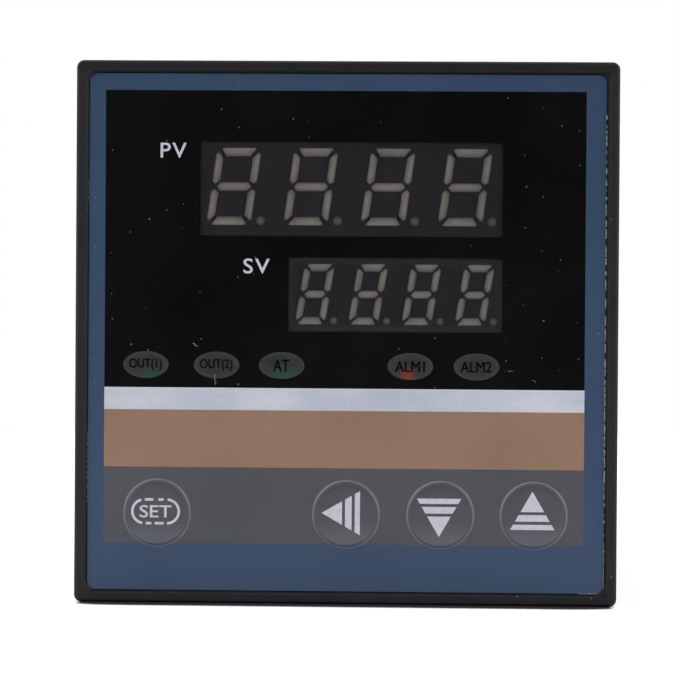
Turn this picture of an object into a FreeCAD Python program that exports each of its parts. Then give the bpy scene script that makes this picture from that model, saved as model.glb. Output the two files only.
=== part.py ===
import FreeCAD, Part
import math
import os

# Panel-mounted temperature controller with a 72 mm square face.
#
# A black case passes through a square cut-out in the panel and carries the screw terminals at its
# rear. A plug-in chassis slides into the case from the front: a bezel with a printed keypad film,
# two four-digit displays, indicator lamps and four keys on a display board, and two circuit boards
# that run back between rails to the terminal blades.
#
# Frame, in millimetres: the origin is the centre of the cut-out in the panel's front surface, on
# the back of the case flange. +Y runs from the face to the terminals, +X is to the right of
# someone who looks at the face, +Z is up.

# ---------------------------------------------------------------- face, bezel and case
panel_cutout = 68.0
cutout_clearance = 0.25
face_overlap = 2.0
face_corner = 1.0
rim_width = 1.6
rim_edge_bevel = 0.3
bezel_depth = 6.5
bezel_wall = 2.2
flange_depth = 2.5
depth_behind_panel = 100.0
case_wall = 2.0
case_corner = 1.2
slide_clearance = 0.2

face_size = panel_cutout + 2 * face_overlap
body_size = panel_cutout - 2 * cutout_clearance
cavity_size = body_size - 2 * case_wall
cavity_half = cavity_size / 2
bezel_back = -flange_depth
bezel_front = bezel_back - bezel_depth

# ---------------------------------------------------------------- keypad film and face plate
film_thickness = 0.4
film_recess = 0.5
film_gap = 0.1
film_corner = 1.4
plate_thickness = 1.8
key_centres_x = (-25.0, 0.3, 12.65, 25.0)
key_height_z = -24.0
key_names = ("set", "shift", "down", "up")
dome_radius = 4.6
dome_slope = 0.5
dome_rise = 0.45

film_size = face_size - 2 * rim_width - 2 * film_gap
film_front = bezel_front + film_recess
plate_front = film_front + film_thickness
plate_back = plate_front + plate_thickness

# ---------------------------------------------------------------- displays
display_setback = 0.15
display_depth = 7.0
display_window_gap = 0.15
segment_depth = 1.6
segment_fit = 0.02
point_room = 0.65
digits_in_display = 4
# slant in degrees; digits_right and digits_up carry the digits from the middle of their display;
# margin_x and margin_z run from the digits' cells to the edges of the display
upper_display = dict(x=0.55, z=19.07, pitch=10.24, digit_width=5.93, digit_height=10.26, stroke=1.12,
                     slant=8.0, point_radius=0.6, digits_right=0.13, digits_up=0.29,
                     margin_x=-0.38, margin_z=1.17)
lower_display = dict(x=6.48, z=5.07, pitch=7.07, digit_width=4.02, digit_height=8.06, stroke=1.0,
                     slant=9.5, point_radius=0.5, digits_right=0.23, digits_up=0.05,
                     margin_x=0.11, margin_z=0.92)
for display in (upper_display, lower_display):
    display["width"] = digits_in_display * display["pitch"] + 2 * display["margin_x"]
    display["height"] = display["digit_height"] + 2 * display["margin_z"]

display_front = plate_front + display_setback
board_front = display_front + display_depth

# ---------------------------------------------------------------- boards
board_thickness = 1.6
display_board_margin = 1.75
display_board_corner = 1.0
side_board_inset = 6.75
side_board_gap = 0.3
side_board_edge_play = 0.4
side_board_end_play = 0.4
rail_thickness = 1.2
rail_height = 2.2
rail_start = 6.0
rear_pad_length = 9.0

board_back = board_front + board_thickness
display_board_size = cavity_size - 2 * display_board_margin
side_board_x = cavity_half - side_board_inset
side_board_start = board_back + side_board_gap
side_board_half_height = cavity_half - side_board_edge_play

# ---------------------------------------------------------------- indicator lamps
lamp_window_centres_x = (-26.6, -17.2, -8.54, 8.54, 17.3)
lamp_window_z = -4.4
lamp_window_width = 6.1
lamp_window_height = 3.6
lamp_well_margin = 0.2
lamp_well_wall = 0.7
lamp_well_length = 3.0
lamp_drop = 0.7
lamp_radius = 1.5
lamp_clearance = 0.3
lamp_standoff = 1.2
lamp_lead_size = 0.5
lamp_lead_pitch = 1.8
lamp_setback = 0.3
output_lamp_offset = 0.8

# ---------------------------------------------------------------- key switches
switch_size = 6.0
switch_base_height = 2.9
switch_cover_thickness = 0.3
switch_cover_corner = 0.8
switch_tab_width = 3.0
switch_tab_length = 1.6
switch_well_size = 4.6
stem_bottom_play = 0.8
stem_radius = 1.7
stem_clearance = 0.12
stem_foot_size = 4.2
stem_foot_thickness = 0.8
stem_foot_gap = 0.02
stem_tip_gap = 0.1
key_travel = 0.25
plate_key_hole_radius = 2.6

# ---------------------------------------------------------------- bezel inside
post_size = 3.6
post_inset = 3.0
post_lower_z = -13.0
pin_radius = 1.0
pin_clearance = 0.1
pin_length_beyond_board = 0.5
arm_width = 8.0
arm_thickness = 1.2
arm_gap = 0.2
arm_nose = 0.8
arm_nose_length = 1.2
arm_nose_lead = 0.4
arm_hook_play = 0.05
arm_positions_z = (-14.0, 14.0)

post_x = display_board_size / 2 - post_inset
post_positions = ((-post_x, post_x), (post_x, post_x), (-post_x, post_lower_z), (post_x, post_lower_z))
pin_positions = (post_positions[0], post_positions[3])

# ---------------------------------------------------------------- latch
latch_width = 9.0
latch_thickness = 1.1
latch_gap = 0.2
latch_nose = 1.2
latch_nose_length = 2.4
latch_nose_flat = 0.8
latch_end_length = 1.0
latch_notch_play = 0.3
latch_notch_y = 5.0
latch_slot_height = 1.6
latch_slot_play = 1.0

# ---------------------------------------------------------------- facets of small round features
head_sides = 12
shank_sides = 8

# ---------------------------------------------------------------- case details
vent_width = 2.0
vent_length = 17.0
vent_pitch = 6.0
vent_count = 6
vent_start = 30.0
vent_centre_x = 11.5
bracket_slot_width = 3.4
bracket_slot_length = 8.0
bracket_slot_x = 14.0
bracket_slot_y = 18.0

# ---------------------------------------------------------------- terminal block
terminals_per_side = 7
terminal_pitch = 8.2
barrier_thickness = 1.3
terminal_block_depth = 12.0
terminal_base = 4.0
terminal_bay_width = 11.4
centre_block_drop = 2.0
spigot_length = 3.0
spigot_wall = 1.5
spigot_gap = 0.1
snap_x = 12.0
snap_width = 8.0
snap_length = 6.0
snap_thickness = 1.2
snap_nose = 1.1
snap_nose_length = 2.6
snap_nose_flat = 0.6
snap_tip = 0.5
snap_window_play = 0.25
contact_thickness = 0.8
contact_width = 6.0
contact_length = 9.0
contact_gap = 0.1
blade_width = 4.0
blade_slot_play = 0.15
blade_tip_setback = 1.0
screw_offset = 0.4
screw_radius = 1.5
screw_clearance = 0.08
screw_head_radius = 2.7
screw_head_height = 1.9
screw_length = 4.0
nut_pocket_size = 5.7
nut_pocket_depth = 2.6
washer_size = 5.8
washer_thickness = 0.8

block_front = depth_behind_panel - terminal_block_depth
block_floor = block_front + terminal_base
side_board_end = block_front - spigot_length - side_board_end_play
bay_inner_x = body_size / 2 - terminal_bay_width
board_inner_x = side_board_x - board_thickness / 2
blade_outer_x = board_inner_x - contact_gap
blade_end = side_board_end - rear_pad_length + blade_tip_setback
terminal_screw_x = blade_outer_x - contact_thickness + contact_length / 2 + screw_offset
snap_start = block_front - spigot_length - snap_length
snap_nose_start = snap_start + snap_tip
terminal_centres_z = [(i - (terminals_per_side - 1) / 2) * terminal_pitch for i in range(terminals_per_side)]

# ---------------------------------------------------------------- board components
component_start = 6.0
component_gap = 1.6
row_z = 14.5
mains_capacitor_radius = 5.0
mains_capacitor_height = 17.0
output_capacitor_radius = 3.15
output_capacitor_height = 11.0
core_length = 19.0
core_width = 16.0
core_thickness = 5.0
core_leg = 2.6
core_centre_leg = 4.8
winding_height = 12.0
winding_fit = 0.15
winding_lift = 0.6
winding_edge_bevel = 1.2
relay_length = 19.0
relay_width = 15.4
relay_height = 15.2
relay_edge_bevel = 0.8
relay_base_height = 2.0
relay_base_step = 0.25
choke_length = 12.0
choke_width = 11.0
choke_core_thickness = 3.4
choke_leg = 2.6
choke_coil_height = 7.6
choke_coil_length = 6.0
choke_coil_wall = 1.2
varistor_radius = 3.8
varistor_thickness = 3.4
varistor_lift = 1.2
varistor_lead_size = 0.6
varistor_lead_spacing = 5.0
fuse_length = 8.4
fuse_width = 4.2
fuse_height = 7.6
fuse_bevel = 0.6
trimmer_size = 6.8
trimmer_height = 4.6
trimmer_screw_radius = 1.1
trimmer_screw_height = 0.8
trimmer_slot_width = 0.5
film_capacitor_length = 7.2
film_capacitor_width = 3.0
film_capacitor_height = 6.6
film_capacitor_bevel = 0.4
chip_lead_pitch = 2.54
# leads of the amplifier, memory, driver and supply chips, then of the optocouplers and bridge
long_chip_count = 8
short_chip_count = 4
chip_width = 6.4
chip_height = 3.3
chip_lift = 0.5
chip_lead_width = 0.5
chip_lead_thickness = 0.3
chip_lead_reach = 0.6
chip_notch = 1.2
flat_chip_size = 9.0
flat_chip_height = 1.8
flat_chip_lift = 0.15
flat_chip_lead_pitch = 1.27
flat_chip_lead_width = 0.4
flat_chip_lead_reach = 1.3
flat_chip_leads_per_side = 6
flat_chip_x = -6.0
flat_chip_z = 12.0
crystal_length = 11.0
crystal_width = 4.6
crystal_height = 3.5
crystal_z = -4.0
header_pins = 10
header_pin_spacing = 2.54
header_height = 2.5
header_centre_z = 2.0

V = FreeCAD.Vector


# ================================================================ basic shapes
def block(x0, x1, y0, y1, z0, z1):
    """Rectangular solid between two corners."""
    return Part.makeBox(x1 - x0, y1 - y0, z1 - z0, V(x0, y0, z0))


def rod(x, z, radius, y0, y1):
    """Cylinder along Y."""
    return Part.makeCylinder(radius, y1 - y0, V(x, y0, z), V(0, 1, 0))


def extruded(outline, way):
    """Solid swept straight along a vector from a closed flat outline."""
    return Part.Face(Part.makePolygon(outline + outline[:1])).extrude(way)


def prism(points, y0, y1):
    """Straight prism along Y over a closed outline of (x, z) points."""
    return extruded([V(x, y0, z) for x, z in points], V(0, y1 - y0, 0))


def rounded_square(width, height, radius, y0, y1, x=0.0, z=0.0):
    """Rectangular prism along Y whose four long edges are rounded."""
    body = block(x - width / 2, x + width / 2, y0, y1, z - height / 2, z + height / 2)
    return body.makeFillet(radius, edges_along(body, V(0, 1, 0)))


def many_sided(x, z, radius, y0, y1, sides):
    """Regular prism along Y, for the small round features that repeat most."""
    turns = [math.radians(360 * (i + 0.5) / sides) for i in range(sides)]
    return prism([(x + radius * math.cos(a), z + radius * math.sin(a)) for a in turns], y0, y1)


def stadium(length, width, height):
    """Upright block on Z = 0 with two half-round ends, its length along X."""
    r = width / 2
    h = length / 2 - r
    edges = [Part.LineSegment(V(-h, -r, 0), V(h, -r, 0)).toShape(),
             Part.Arc(V(h, -r, 0), V(h + r, 0, 0), V(h, r, 0)).toShape(),
             Part.LineSegment(V(h, r, 0), V(-h, r, 0)).toShape(),
             Part.Arc(V(-h, r, 0), V(-h - r, 0, 0), V(-h, -r, 0)).toShape()]
    return Part.Face(Part.Wire(edges)).extrude(V(0, 0, height))


def turned(profile, base=V(0, 0, 0)):
    """Solid turned about the local Z axis from (radius, height) points."""
    points = [V(r, 0, h) for r, h in profile]
    face = Part.Face(Part.makePolygon(points + points[:1]))
    solid = face.revolve(V(0, 0, 0), V(0, 0, 1), 360)
    solid.translate(base)
    return solid


def edges_along(shape, direction):
    """Straight edges parallel to a direction."""
    found = []
    for edge in shape.Edges:
        if isinstance(edge.Curve, Part.Line):
            if abs(abs(edge.tangentAt(edge.FirstParameter).dot(direction)) - 1) < 1e-6:
                found.append(edge)
    return found


def edges_in_plane(shape, y):
    """Edges that lie wholly in the plane at this y."""
    return [e for e in shape.Edges if abs(e.BoundBox.YMin - y) < 1e-6 and abs(e.BoundBox.YMax - y) < 1e-6]


def face_forward(shape):
    """Turns a shape built on local Z so that its Z points along -Y, towards someone at the face."""
    return turned_by(shape, (1, 0, 0), (0, 0, -1), (0, 1, 0))


def turned_by(shape, row_x, row_y, row_z):
    """Applies the rotation whose rows are given."""
    rows = [*row_x, 0, *row_y, 0, *row_z, 0, 0, 0, 0, 1]
    result = shape.copy()
    result.Placement = FreeCAD.Placement(FreeCAD.Matrix(*rows)).multiply(result.Placement)
    return result


def fused(shapes):
    """One solid from several that touch or overlap."""
    return shapes[0].multiFuse(shapes[1:]).removeSplitter() if len(shapes) > 1 else shapes[0]


# ================================================================ case
def case_rails():
    """Pairs of ribs on the top and bottom walls that guide the two side boards."""
    slot_half = board_thickness / 2 + slide_clearance
    ribs = []
    for board in (-side_board_x, side_board_x):
        for side in (-1, 1):
            inner = board + side * slot_half
            outer = board + side * (slot_half + rail_thickness)
            x0, x1 = sorted((inner, outer))
            y1 = block_front - spigot_length - snap_length
            top = cavity_half
            ribs.append(block(x0, x1, rail_start, y1, top - rail_height, top + case_wall / 2))
            ribs.append(block(x0, x1, rail_start, y1, -top - case_wall / 2, -top + rail_height))
    return ribs


def wall_slot(x, y0, width, length, up):
    """Cutter for a slot through the top wall (up = 1) or the bottom wall (up = -1)."""
    z0, z1 = sorted((up * (cavity_half - 0.5), up * (body_size / 2 + 0.5)))
    return block(x - width / 2, x + width / 2, y0, y0 + length, z0, z1)


def case_slots():
    """Vents, bracket slots and snap windows of the top and bottom walls."""
    cuts = []
    for up in (-1, 1):
        for side in (-1, 1):
            for i in range(vent_count):
                y = vent_start + i * vent_pitch
                cuts.append(wall_slot(side * vent_centre_x, y, vent_length, vent_width, up))
            cuts.append(wall_slot(side * bracket_slot_x, bracket_slot_y, bracket_slot_width,
                                  bracket_slot_length, up))
            cuts.append(wall_slot(side * snap_x, snap_nose_start - snap_window_play,
                                  snap_width + 2 * snap_window_play,
                                  snap_nose_length + 2 * snap_window_play, up))
    notch_width = latch_width + 2 * latch_notch_play
    notch_length = latch_nose_length + 2 * latch_notch_play
    cuts.append(wall_slot(0.0, latch_notch_y - latch_notch_play, notch_width, notch_length, -1))
    return cuts


def make_case():
    """Moulded sleeve with the panel flange at its front."""
    flange = rounded_square(face_size, face_size, face_corner, bezel_back, 0.0)
    sleeve = rounded_square(body_size, body_size, case_corner, 0.0, block_front)
    cavity = block(-cavity_half, cavity_half, bezel_back - 1, block_front + 1, -cavity_half, cavity_half)
    return fused([flange, sleeve]).cut(cavity).fuse(case_rails()).cut(case_slots()).removeSplitter()


# ================================================================ terminal block
def snap_tongue(side, up):
    """Flexible tongue of the terminal block, with its nose in a window of the case wall."""
    outer = up * (cavity_half - spigot_gap)
    inner = up * (cavity_half - spigot_gap - snap_thickness)
    tip = up * (cavity_half + snap_nose)
    nose_end = snap_nose_start + snap_nose_length
    side_view = [(snap_start, inner), (block_front, inner), (block_front, outer), (nose_end, outer),
                 (nose_end, tip), (nose_end - snap_nose_flat, tip), (snap_nose_start, outer),
                 (snap_start, outer)]
    x0 = side * snap_x - snap_width / 2
    return extruded([V(x0, y, z) for y, z in side_view], V(snap_width, 0, 0))


def terminal_barriers(side):
    """Walls between the terminals of one column, and the walls at its two ends."""
    count = terminals_per_side + 1
    first = -terminals_per_side / 2 * terminal_pitch
    x0, x1 = sorted((side * (bay_inner_x - 0.5), side * body_size / 2))
    walls = []
    for i in range(count):
        z = first + i * terminal_pitch
        walls.append(block(x0, x1, block_floor - 0.5, depth_behind_panel,
                           z - barrier_thickness / 2, z + barrier_thickness / 2))
    return walls


def make_terminal_block():
    """Moulded rear cover with two columns of terminal bays."""
    base = rounded_square(body_size, body_size, case_corner, block_front, block_floor)
    hub_back = depth_behind_panel - centre_block_drop
    hub_height = terminals_per_side * terminal_pitch + barrier_thickness
    hub = block(-bay_inner_x, bay_inner_x, block_floor - 0.5, hub_back, -hub_height / 2, hub_height / 2)
    spigot_half = cavity_half - spigot_gap
    spigot = block(-spigot_half, spigot_half, block_front - spigot_length, block_front + 0.5,
                   -spigot_half, spigot_half)
    inner_half = spigot_half - spigot_wall
    core = block(-inner_half, inner_half, block_front - spigot_length - 1, block_front,
                 -inner_half, inner_half)
    tongues = [snap_tongue(side, up) for side in (-1, 1) for up in (-1, 1)]
    walls = terminal_barriers(-1) + terminal_barriers(1)
    body = fused([base, hub, spigot.cut(core), *tongues, *walls])
    hub_hollow = block(-bay_inner_x + case_wall, bay_inner_x - case_wall, block_front - 0.5,
                       hub_back - case_wall, -hub_height / 2 + case_wall, hub_height / 2 - case_wall)
    cuts = [hub_hollow]
    for side in (-1, 1):
        for z in terminal_centres_z:
            x = side * terminal_screw_x
            pocket = nut_pocket_size / 2
            cuts.append(block(x - pocket, x + pocket, block_floor - nut_pocket_depth, block_floor + 1,
                              z - pocket, z + pocket))
            x0, x1 = sorted((side * (blade_outer_x - contact_thickness - blade_slot_play),
                             side * (blade_outer_x + blade_slot_play)))
            half = blade_width / 2 + blade_slot_play
            cuts.append(block(x0, x1, block_front - 1, block_floor + 1, z - half, z + half))
    return body.cut(cuts)


def terminal_contact(side, z):
    """Stamped strip: a plate under the screw, bent down to a blade that meets the side board."""
    inner = blade_outer_x - contact_thickness
    x0, x1 = sorted((side * inner, side * (inner + contact_length)))
    plate = block(x0, x1, block_floor, block_floor + contact_thickness,
                  z - contact_width / 2, z + contact_width / 2)
    b0, b1 = sorted((side * inner, side * blade_outer_x))
    blade = block(b0, b1, blade_end, block_floor + contact_thickness,
                  z - blade_width / 2, z + blade_width / 2)
    hole = many_sided(side * terminal_screw_x, z, screw_radius + screw_clearance, block_floor - 1,
                      block_floor + contact_thickness + 1, shank_sides)
    return plate.fuse(blade).cut(hole).removeSplitter()


def clamp_washer(side, z):
    """Square clamp plate held under a terminal screw's head."""
    y0 = block_floor + contact_thickness
    half = washer_size / 2
    x = side * terminal_screw_x
    plate = block(x - half, x + half, y0, y0 + washer_thickness, z - half, z + half)
    hole = many_sided(x, z, screw_radius + screw_clearance, y0 - 1, y0 + washer_thickness + 1, shank_sides)
    return plate.cut(hole)


def terminal_screw(side, z):
    """Screw with its head towards +Y and its shank through the washer and the contact."""
    x = side * terminal_screw_x
    seat = block_floor + contact_thickness + washer_thickness
    head = many_sided(x, z, screw_head_radius, seat, seat + screw_head_height, head_sides)
    shank = many_sided(x, z, screw_radius, seat - screw_length, seat, shank_sides)
    return head.fuse(shank)


def at_each_terminal(make):
    """The same small part at every terminal."""
    return Part.makeCompound([make(side, z) for side in (-1, 1) for z in terminal_centres_z])


# ================================================================ bezel
def lamp_well(x, y0, y1, wall):
    """Rectangular light well behind one lamp window, grown by a wall."""
    half_width = lamp_window_width / 2 + lamp_well_margin + wall
    top = lamp_window_height / 2 + lamp_well_margin + wall
    bottom = max(top, lamp_drop + lamp_radius + lamp_clearance + wall)
    return block(x - half_width, x + half_width, y0, y1, lamp_window_z - bottom, lamp_window_z + top)


def bezel_posts():
    """Posts that space the display board from the face plate, two of them with locating pins."""
    half = post_size / 2
    posts = [block(x - half, x + half, plate_back - 0.5, board_front, z - half, z + half)
             for x, z in post_positions]
    pin_end = board_back + pin_length_beyond_board
    pins = [many_sided(x, z, pin_radius, board_front - 0.5, pin_end, shank_sides)
            for x, z in pin_positions]
    return posts + pins


def bezel_arm(side, z):
    """Snap arm beside the display board, with its nose over the board's back."""
    x_in = display_board_size / 2 + arm_gap
    x_out = x_in + arm_thickness
    hook = board_back + arm_hook_play
    top_view = [(x_in, plate_back), (x_out, plate_back), (x_out, hook + arm_nose_length),
                (x_in, hook + arm_nose_length), (x_in - arm_nose, hook + arm_nose_lead),
                (x_in - arm_nose, hook), (x_in, hook)]
    return extruded([V(side * x, y, z - arm_width / 2) for x, y in top_view], V(0, 0, arm_width))


def make_bezel():
    """Moulded front frame: rim, face plate with its windows, light wells, posts and snap arms."""
    outer = rounded_square(face_size, face_size, face_corner, bezel_front, bezel_back)
    pocket_size = film_size + 2 * film_gap
    pocket = rounded_square(pocket_size, pocket_size, film_corner, bezel_front - 1, plate_front)
    frame = outer.cut(pocket)
    frame = frame.makeChamfer(rim_edge_bevel, edges_in_plane(frame, bezel_front))
    inner = face_size / 2 - bezel_wall
    hollow = block(-inner, inner, plate_back, bezel_back + 1, -inner, inner)
    frame = frame.cut(hollow)
    wells = [lamp_well(x, plate_back - 0.5, plate_back + lamp_well_length, lamp_well_wall)
             for x in lamp_window_centres_x]
    arms = [bezel_arm(side, z) for side in (-1, 1) for z in arm_positions_z]
    frame = frame.fuse(bezel_posts() + wells + arms)
    cuts = [lamp_well(x, bezel_front, plate_back + lamp_well_length + 1, 0.0)
            for x in lamp_window_centres_x]
    for spec in (upper_display, lower_display):
        half_width = spec["width"] / 2 + display_window_gap
        half_height = spec["height"] / 2 + display_window_gap
        cuts.append(block(spec["x"] - half_width, spec["x"] + half_width, plate_front - 1, plate_back + 1,
                          spec["z"] - half_height, spec["z"] + half_height))
    for x in key_centres_x:
        cuts.append(many_sided(x, key_height_z, plate_key_hole_radius, plate_front - 1, plate_back + 1,
                               head_sides))
    slot_half = latch_width / 2 + latch_slot_play
    cuts.append(block(-slot_half, slot_half, bezel_back - latch_slot_height, bezel_back + 1,
                      -face_size / 2 - 1, -face_size / 2 + bezel_wall + 0.5))
    return frame.cut(cuts).removeSplitter()


def make_latch():
    """Spring tongue that hooks the chassis into a notch in the bottom wall of the case."""
    outer = -(cavity_half - latch_gap)
    inner = outer + latch_thickness
    tip = outer - latch_nose
    y1 = latch_notch_y
    y2 = y1 + latch_nose_length
    end = y2 + latch_end_length
    side_view = [(plate_back, inner), (end, inner), (end, outer), (y2, outer), (y1 + latch_nose_flat, tip),
                 (y1, tip), (y1, outer), (plate_back, outer)]
    return extruded([V(-latch_width / 2, y, z) for y, z in side_view], V(latch_width, 0, 0))


def make_film():
    """Keypad film with a raised, hollow dome over each key."""
    sheet = rounded_square(film_size, film_size, film_corner - film_gap, film_front, plate_front)
    outside = [(0, 0), (dome_radius, 0), (dome_radius - dome_slope, dome_rise), (0, dome_rise)]
    domes = []
    hollows = []
    for x in key_centres_x:
        domes.append(face_forward(turned(outside)).translate(V(x, film_front, key_height_z)))
        hollows.append(many_sided(x, key_height_z, dome_radius - 2 * dome_slope, plate_front - dome_rise,
                                  plate_front + 1, head_sides))
    return sheet.fuse(domes).cut(hollows).removeSplitter()


# ================================================================ displays
def digit_segments(spec):
    """Outlines of the seven bars of one upright digit about its centre, as (x, z) points."""
    w = spec["digit_width"] / 2
    h = spec["digit_height"] / 2
    t = spec["stroke"]
    far = w - 0.49 * t
    near = far - 0.45 * t
    top = [(-far, h), (far, h), (near, h - t), (-near, h - t)]
    bottom = [(x, -z) for x, z in top]
    tip = w - 0.58 * t
    flat = tip - 0.36 * t
    middle = [(-tip, 0), (-flat, t / 2), (flat, t / 2), (tip, 0), (flat, -t / 2), (-flat, -t / 2)]
    upper_right = [(w, h - 0.6 * t), (w, 0.34 * t), (w - t, t), (w - t, h - 1.2 * t)]
    lower_right = [(x, -z) for x, z in upper_right]
    upper_left = [(-x, z) for x, z in upper_right]
    lower_left = [(-x, -z) for x, z in upper_right]
    return [top, bottom, middle, upper_right, lower_right, upper_left, lower_left]


def display_bars(spec, gap):
    """Every bar and decimal point of a display as solids in its face, each side grown by a gap."""
    lean = math.tan(math.radians(spec["slant"]))
    y0 = display_front
    y1 = display_front + segment_depth
    middle_x = spec["x"] + spec["digits_right"] - point_room * spec["point_radius"]
    middle_z = spec["z"] + spec["digits_up"]
    solids = []
    for i in range(digits_in_display):
        x = middle_x + (i - (digits_in_display - 1) / 2) * spec["pitch"]
        for outline in digit_segments(spec):
            bar = prism([(x + px + pz * lean, middle_z + pz) for px, pz in outline], y0, y1)
            if gap:
                bar = bar.makeOffsetShape(gap, 1e-4, join=2)
            solids.append(bar)
        point_x = x + spec["digit_width"] / 2 + spec["point_radius"]
        point_z = middle_z - spec["digit_height"] / 2 + spec["point_radius"]
        radius = spec["point_radius"] + gap
        solids.append(many_sided(point_x, point_z, radius, y0 - gap, y1 + gap, shank_sides))
    return solids


def make_display_shell(spec):
    """Black-faced display housing with a pocket for each bar."""
    shell = block(spec["x"] - spec["width"] / 2, spec["x"] + spec["width"] / 2, display_front, board_front,
                  spec["z"] - spec["height"] / 2, spec["z"] + spec["height"] / 2)
    return shell.cut(display_bars(spec, segment_fit))


def make_display_bars(spec):
    """Light-diffusing bars and points set in the display's face."""
    return Part.makeCompound(display_bars(spec, 0.0))


# ================================================================ display board
def make_display_board():
    half = display_board_size / 2
    board = block(-half, half, board_front, board_back, -half, half)
    board = board.makeChamfer(display_board_corner, edges_along(board, V(0, 1, 0)))
    holes = [many_sided(x, z, pin_radius + pin_clearance, board_front - 1, board_back + 1, shank_sides)
             for x, z in pin_positions]
    return board.cut(holes)


def make_lamp(window_x):
    """Flat-topped round lamp on two leads that stand on the display board."""
    base_y = board_front - lamp_standoff
    z = lamp_window_z - lamp_drop
    lens = rod(window_x, z, lamp_radius, plate_front + lamp_setback, base_y)
    half = lamp_lead_size / 2
    leads = []
    for side in (-1, 1):
        x = window_x + side * lamp_lead_pitch / 2
        leads.append(block(x - half, x + half, base_y, board_front, z - half, z + half))
    return lens.fuse(leads)


def switch_base(x):
    """Moulded switch base with the square well that holds the stem's foot."""
    half = switch_size / 2
    well = switch_well_size / 2
    y0 = board_front - switch_base_height
    body = block(x - half, x + half, y0, board_front, key_height_z - half, key_height_z + half)
    well_floor = y0 + stem_foot_gap + stem_foot_thickness + key_travel + stem_bottom_play
    return body.cut(block(x - well, x + well, y0 - 1, well_floor, key_height_z - well, key_height_z + well))


def switch_cover(x):
    """Stamped cover plate with a hole for the stem and a bent tab above and below."""
    half = switch_size / 2
    y1 = board_front - switch_base_height
    y0 = y1 - switch_cover_thickness
    plate = block(x - half, x + half, y0, y1, key_height_z - half, key_height_z + half)
    plate = plate.makeChamfer(switch_cover_corner, edges_along(plate, V(0, 1, 0)))
    tab = switch_tab_width / 2
    tabs = []
    for up in (-1, 1):
        z0, z1 = sorted((key_height_z + up * half, key_height_z + up * (half + switch_cover_thickness)))
        tabs.append(block(x - tab, x + tab, y0, y1 + switch_tab_length, z0, z1))
    hole = many_sided(x, key_height_z, stem_radius + stem_clearance, y0 - 1, y1 + 1, head_sides)
    return plate.fuse(tabs).cut(hole).removeSplitter()


def key_stem(x):
    """Plunger: a square foot under the cover and a round stem up to the film dome."""
    half = stem_foot_size / 2
    foot_top = board_front - switch_base_height + stem_foot_gap
    foot_bottom = foot_top + stem_foot_thickness
    tip = plate_front - dome_rise + stem_tip_gap
    foot = block(x - half, x + half, foot_top, foot_bottom, key_height_z - half, key_height_z + half)
    return foot.fuse(rod(x, key_height_z, stem_radius, tip, foot_top))


def make_flat_chip():
    """Flat square microcontroller on the back of the display board, leads on all four sides."""
    half = flat_chip_size / 2
    y0 = board_back + flat_chip_lift
    y1 = y0 + flat_chip_height
    body = block(flat_chip_x - half, flat_chip_x + half, y0, y1, flat_chip_z - half, flat_chip_z + half)
    middle = y0 + flat_chip_height / 2
    foot = half + flat_chip_lead_reach
    knee = half + flat_chip_lead_reach / 2
    t = chip_lead_thickness
    lead = [(half, middle), (knee, middle), (foot, board_back + t), (foot, board_back),
            (knee - t, board_back), (half, middle - t)]
    leads = []
    for i in range(flat_chip_leads_per_side):
        offset = (i - (flat_chip_leads_per_side - 1) / 2) * flat_chip_lead_pitch - flat_chip_lead_width / 2
        strip = extruded([V(x, y, offset) for x, y in lead], V(0, 0, flat_chip_lead_width))
        for turn in range(4):
            copy = strip.copy()
            copy.rotate(V(0, 0, 0), V(0, 1, 0), 90 * turn)
            copy.translate(V(flat_chip_x, 0, flat_chip_z))
            leads.append(copy)
    return body.fuse(leads)


def make_crystal():
    """Flat metal can of the crystal, round at both ends, on the display board's back."""
    can = turned_by(stadium(crystal_length, crystal_width, crystal_height), (1, 0, 0), (0, 0, 1), (0, -1, 0))
    return can.translate(V(flat_chip_x, board_back, crystal_z))


def make_header(side):
    """Angle connector that joins a side board to the display board."""
    length = header_pins * header_pin_spacing
    x0, x1 = sorted((side * (board_inner_x - header_height), side * board_inner_x))
    z0 = header_centre_z - length / 2
    return block(x0, x1, board_back, board_back + header_height, z0, z0 + length)


# ================================================================ side board components
def make_side_board(side):
    x0, x1 = sorted((side * board_inner_x, side * (board_inner_x + board_thickness)))
    return block(x0, x1, side_board_start, side_board_end, -side_board_half_height, side_board_half_height)


def on_side_board(shape, side, y, z):
    """Places a part built on local Z = 0 on the inner face of a side board, local X along Y."""
    if side < 0:
        result = turned_by(shape, (0, 0, 1), (1, 0, 0), (0, 1, 0))
    else:
        result = turned_by(shape, (0, 0, -1), (1, 0, 0), (0, -1, 0))
    result.translate(V(side * board_inner_x, y, z))
    return result


def can_capacitor(radius, height):
    """Upright electrolytic can."""
    return Part.makeCylinder(radius, height)


def transformer_core():
    """Closed ferrite core with two windows, lying flat above its bobbin feet."""
    lift = winding_lift + (winding_height - core_thickness) / 2
    body = Part.makeBox(core_length, core_width, core_thickness, V(-core_length / 2, -core_width / 2, lift))
    window_width = (core_length - 2 * core_leg - core_centre_leg) / 2
    window_depth = core_width - 2 * core_leg
    windows = []
    for side in (-1, 1):
        x = side * (core_centre_leg / 2 + window_width / 2)
        windows.append(Part.makeBox(window_width, window_depth, core_thickness + 2,
                                    V(x - window_width / 2, -window_depth / 2, lift - 1)))
    return body.cut(windows)


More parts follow.
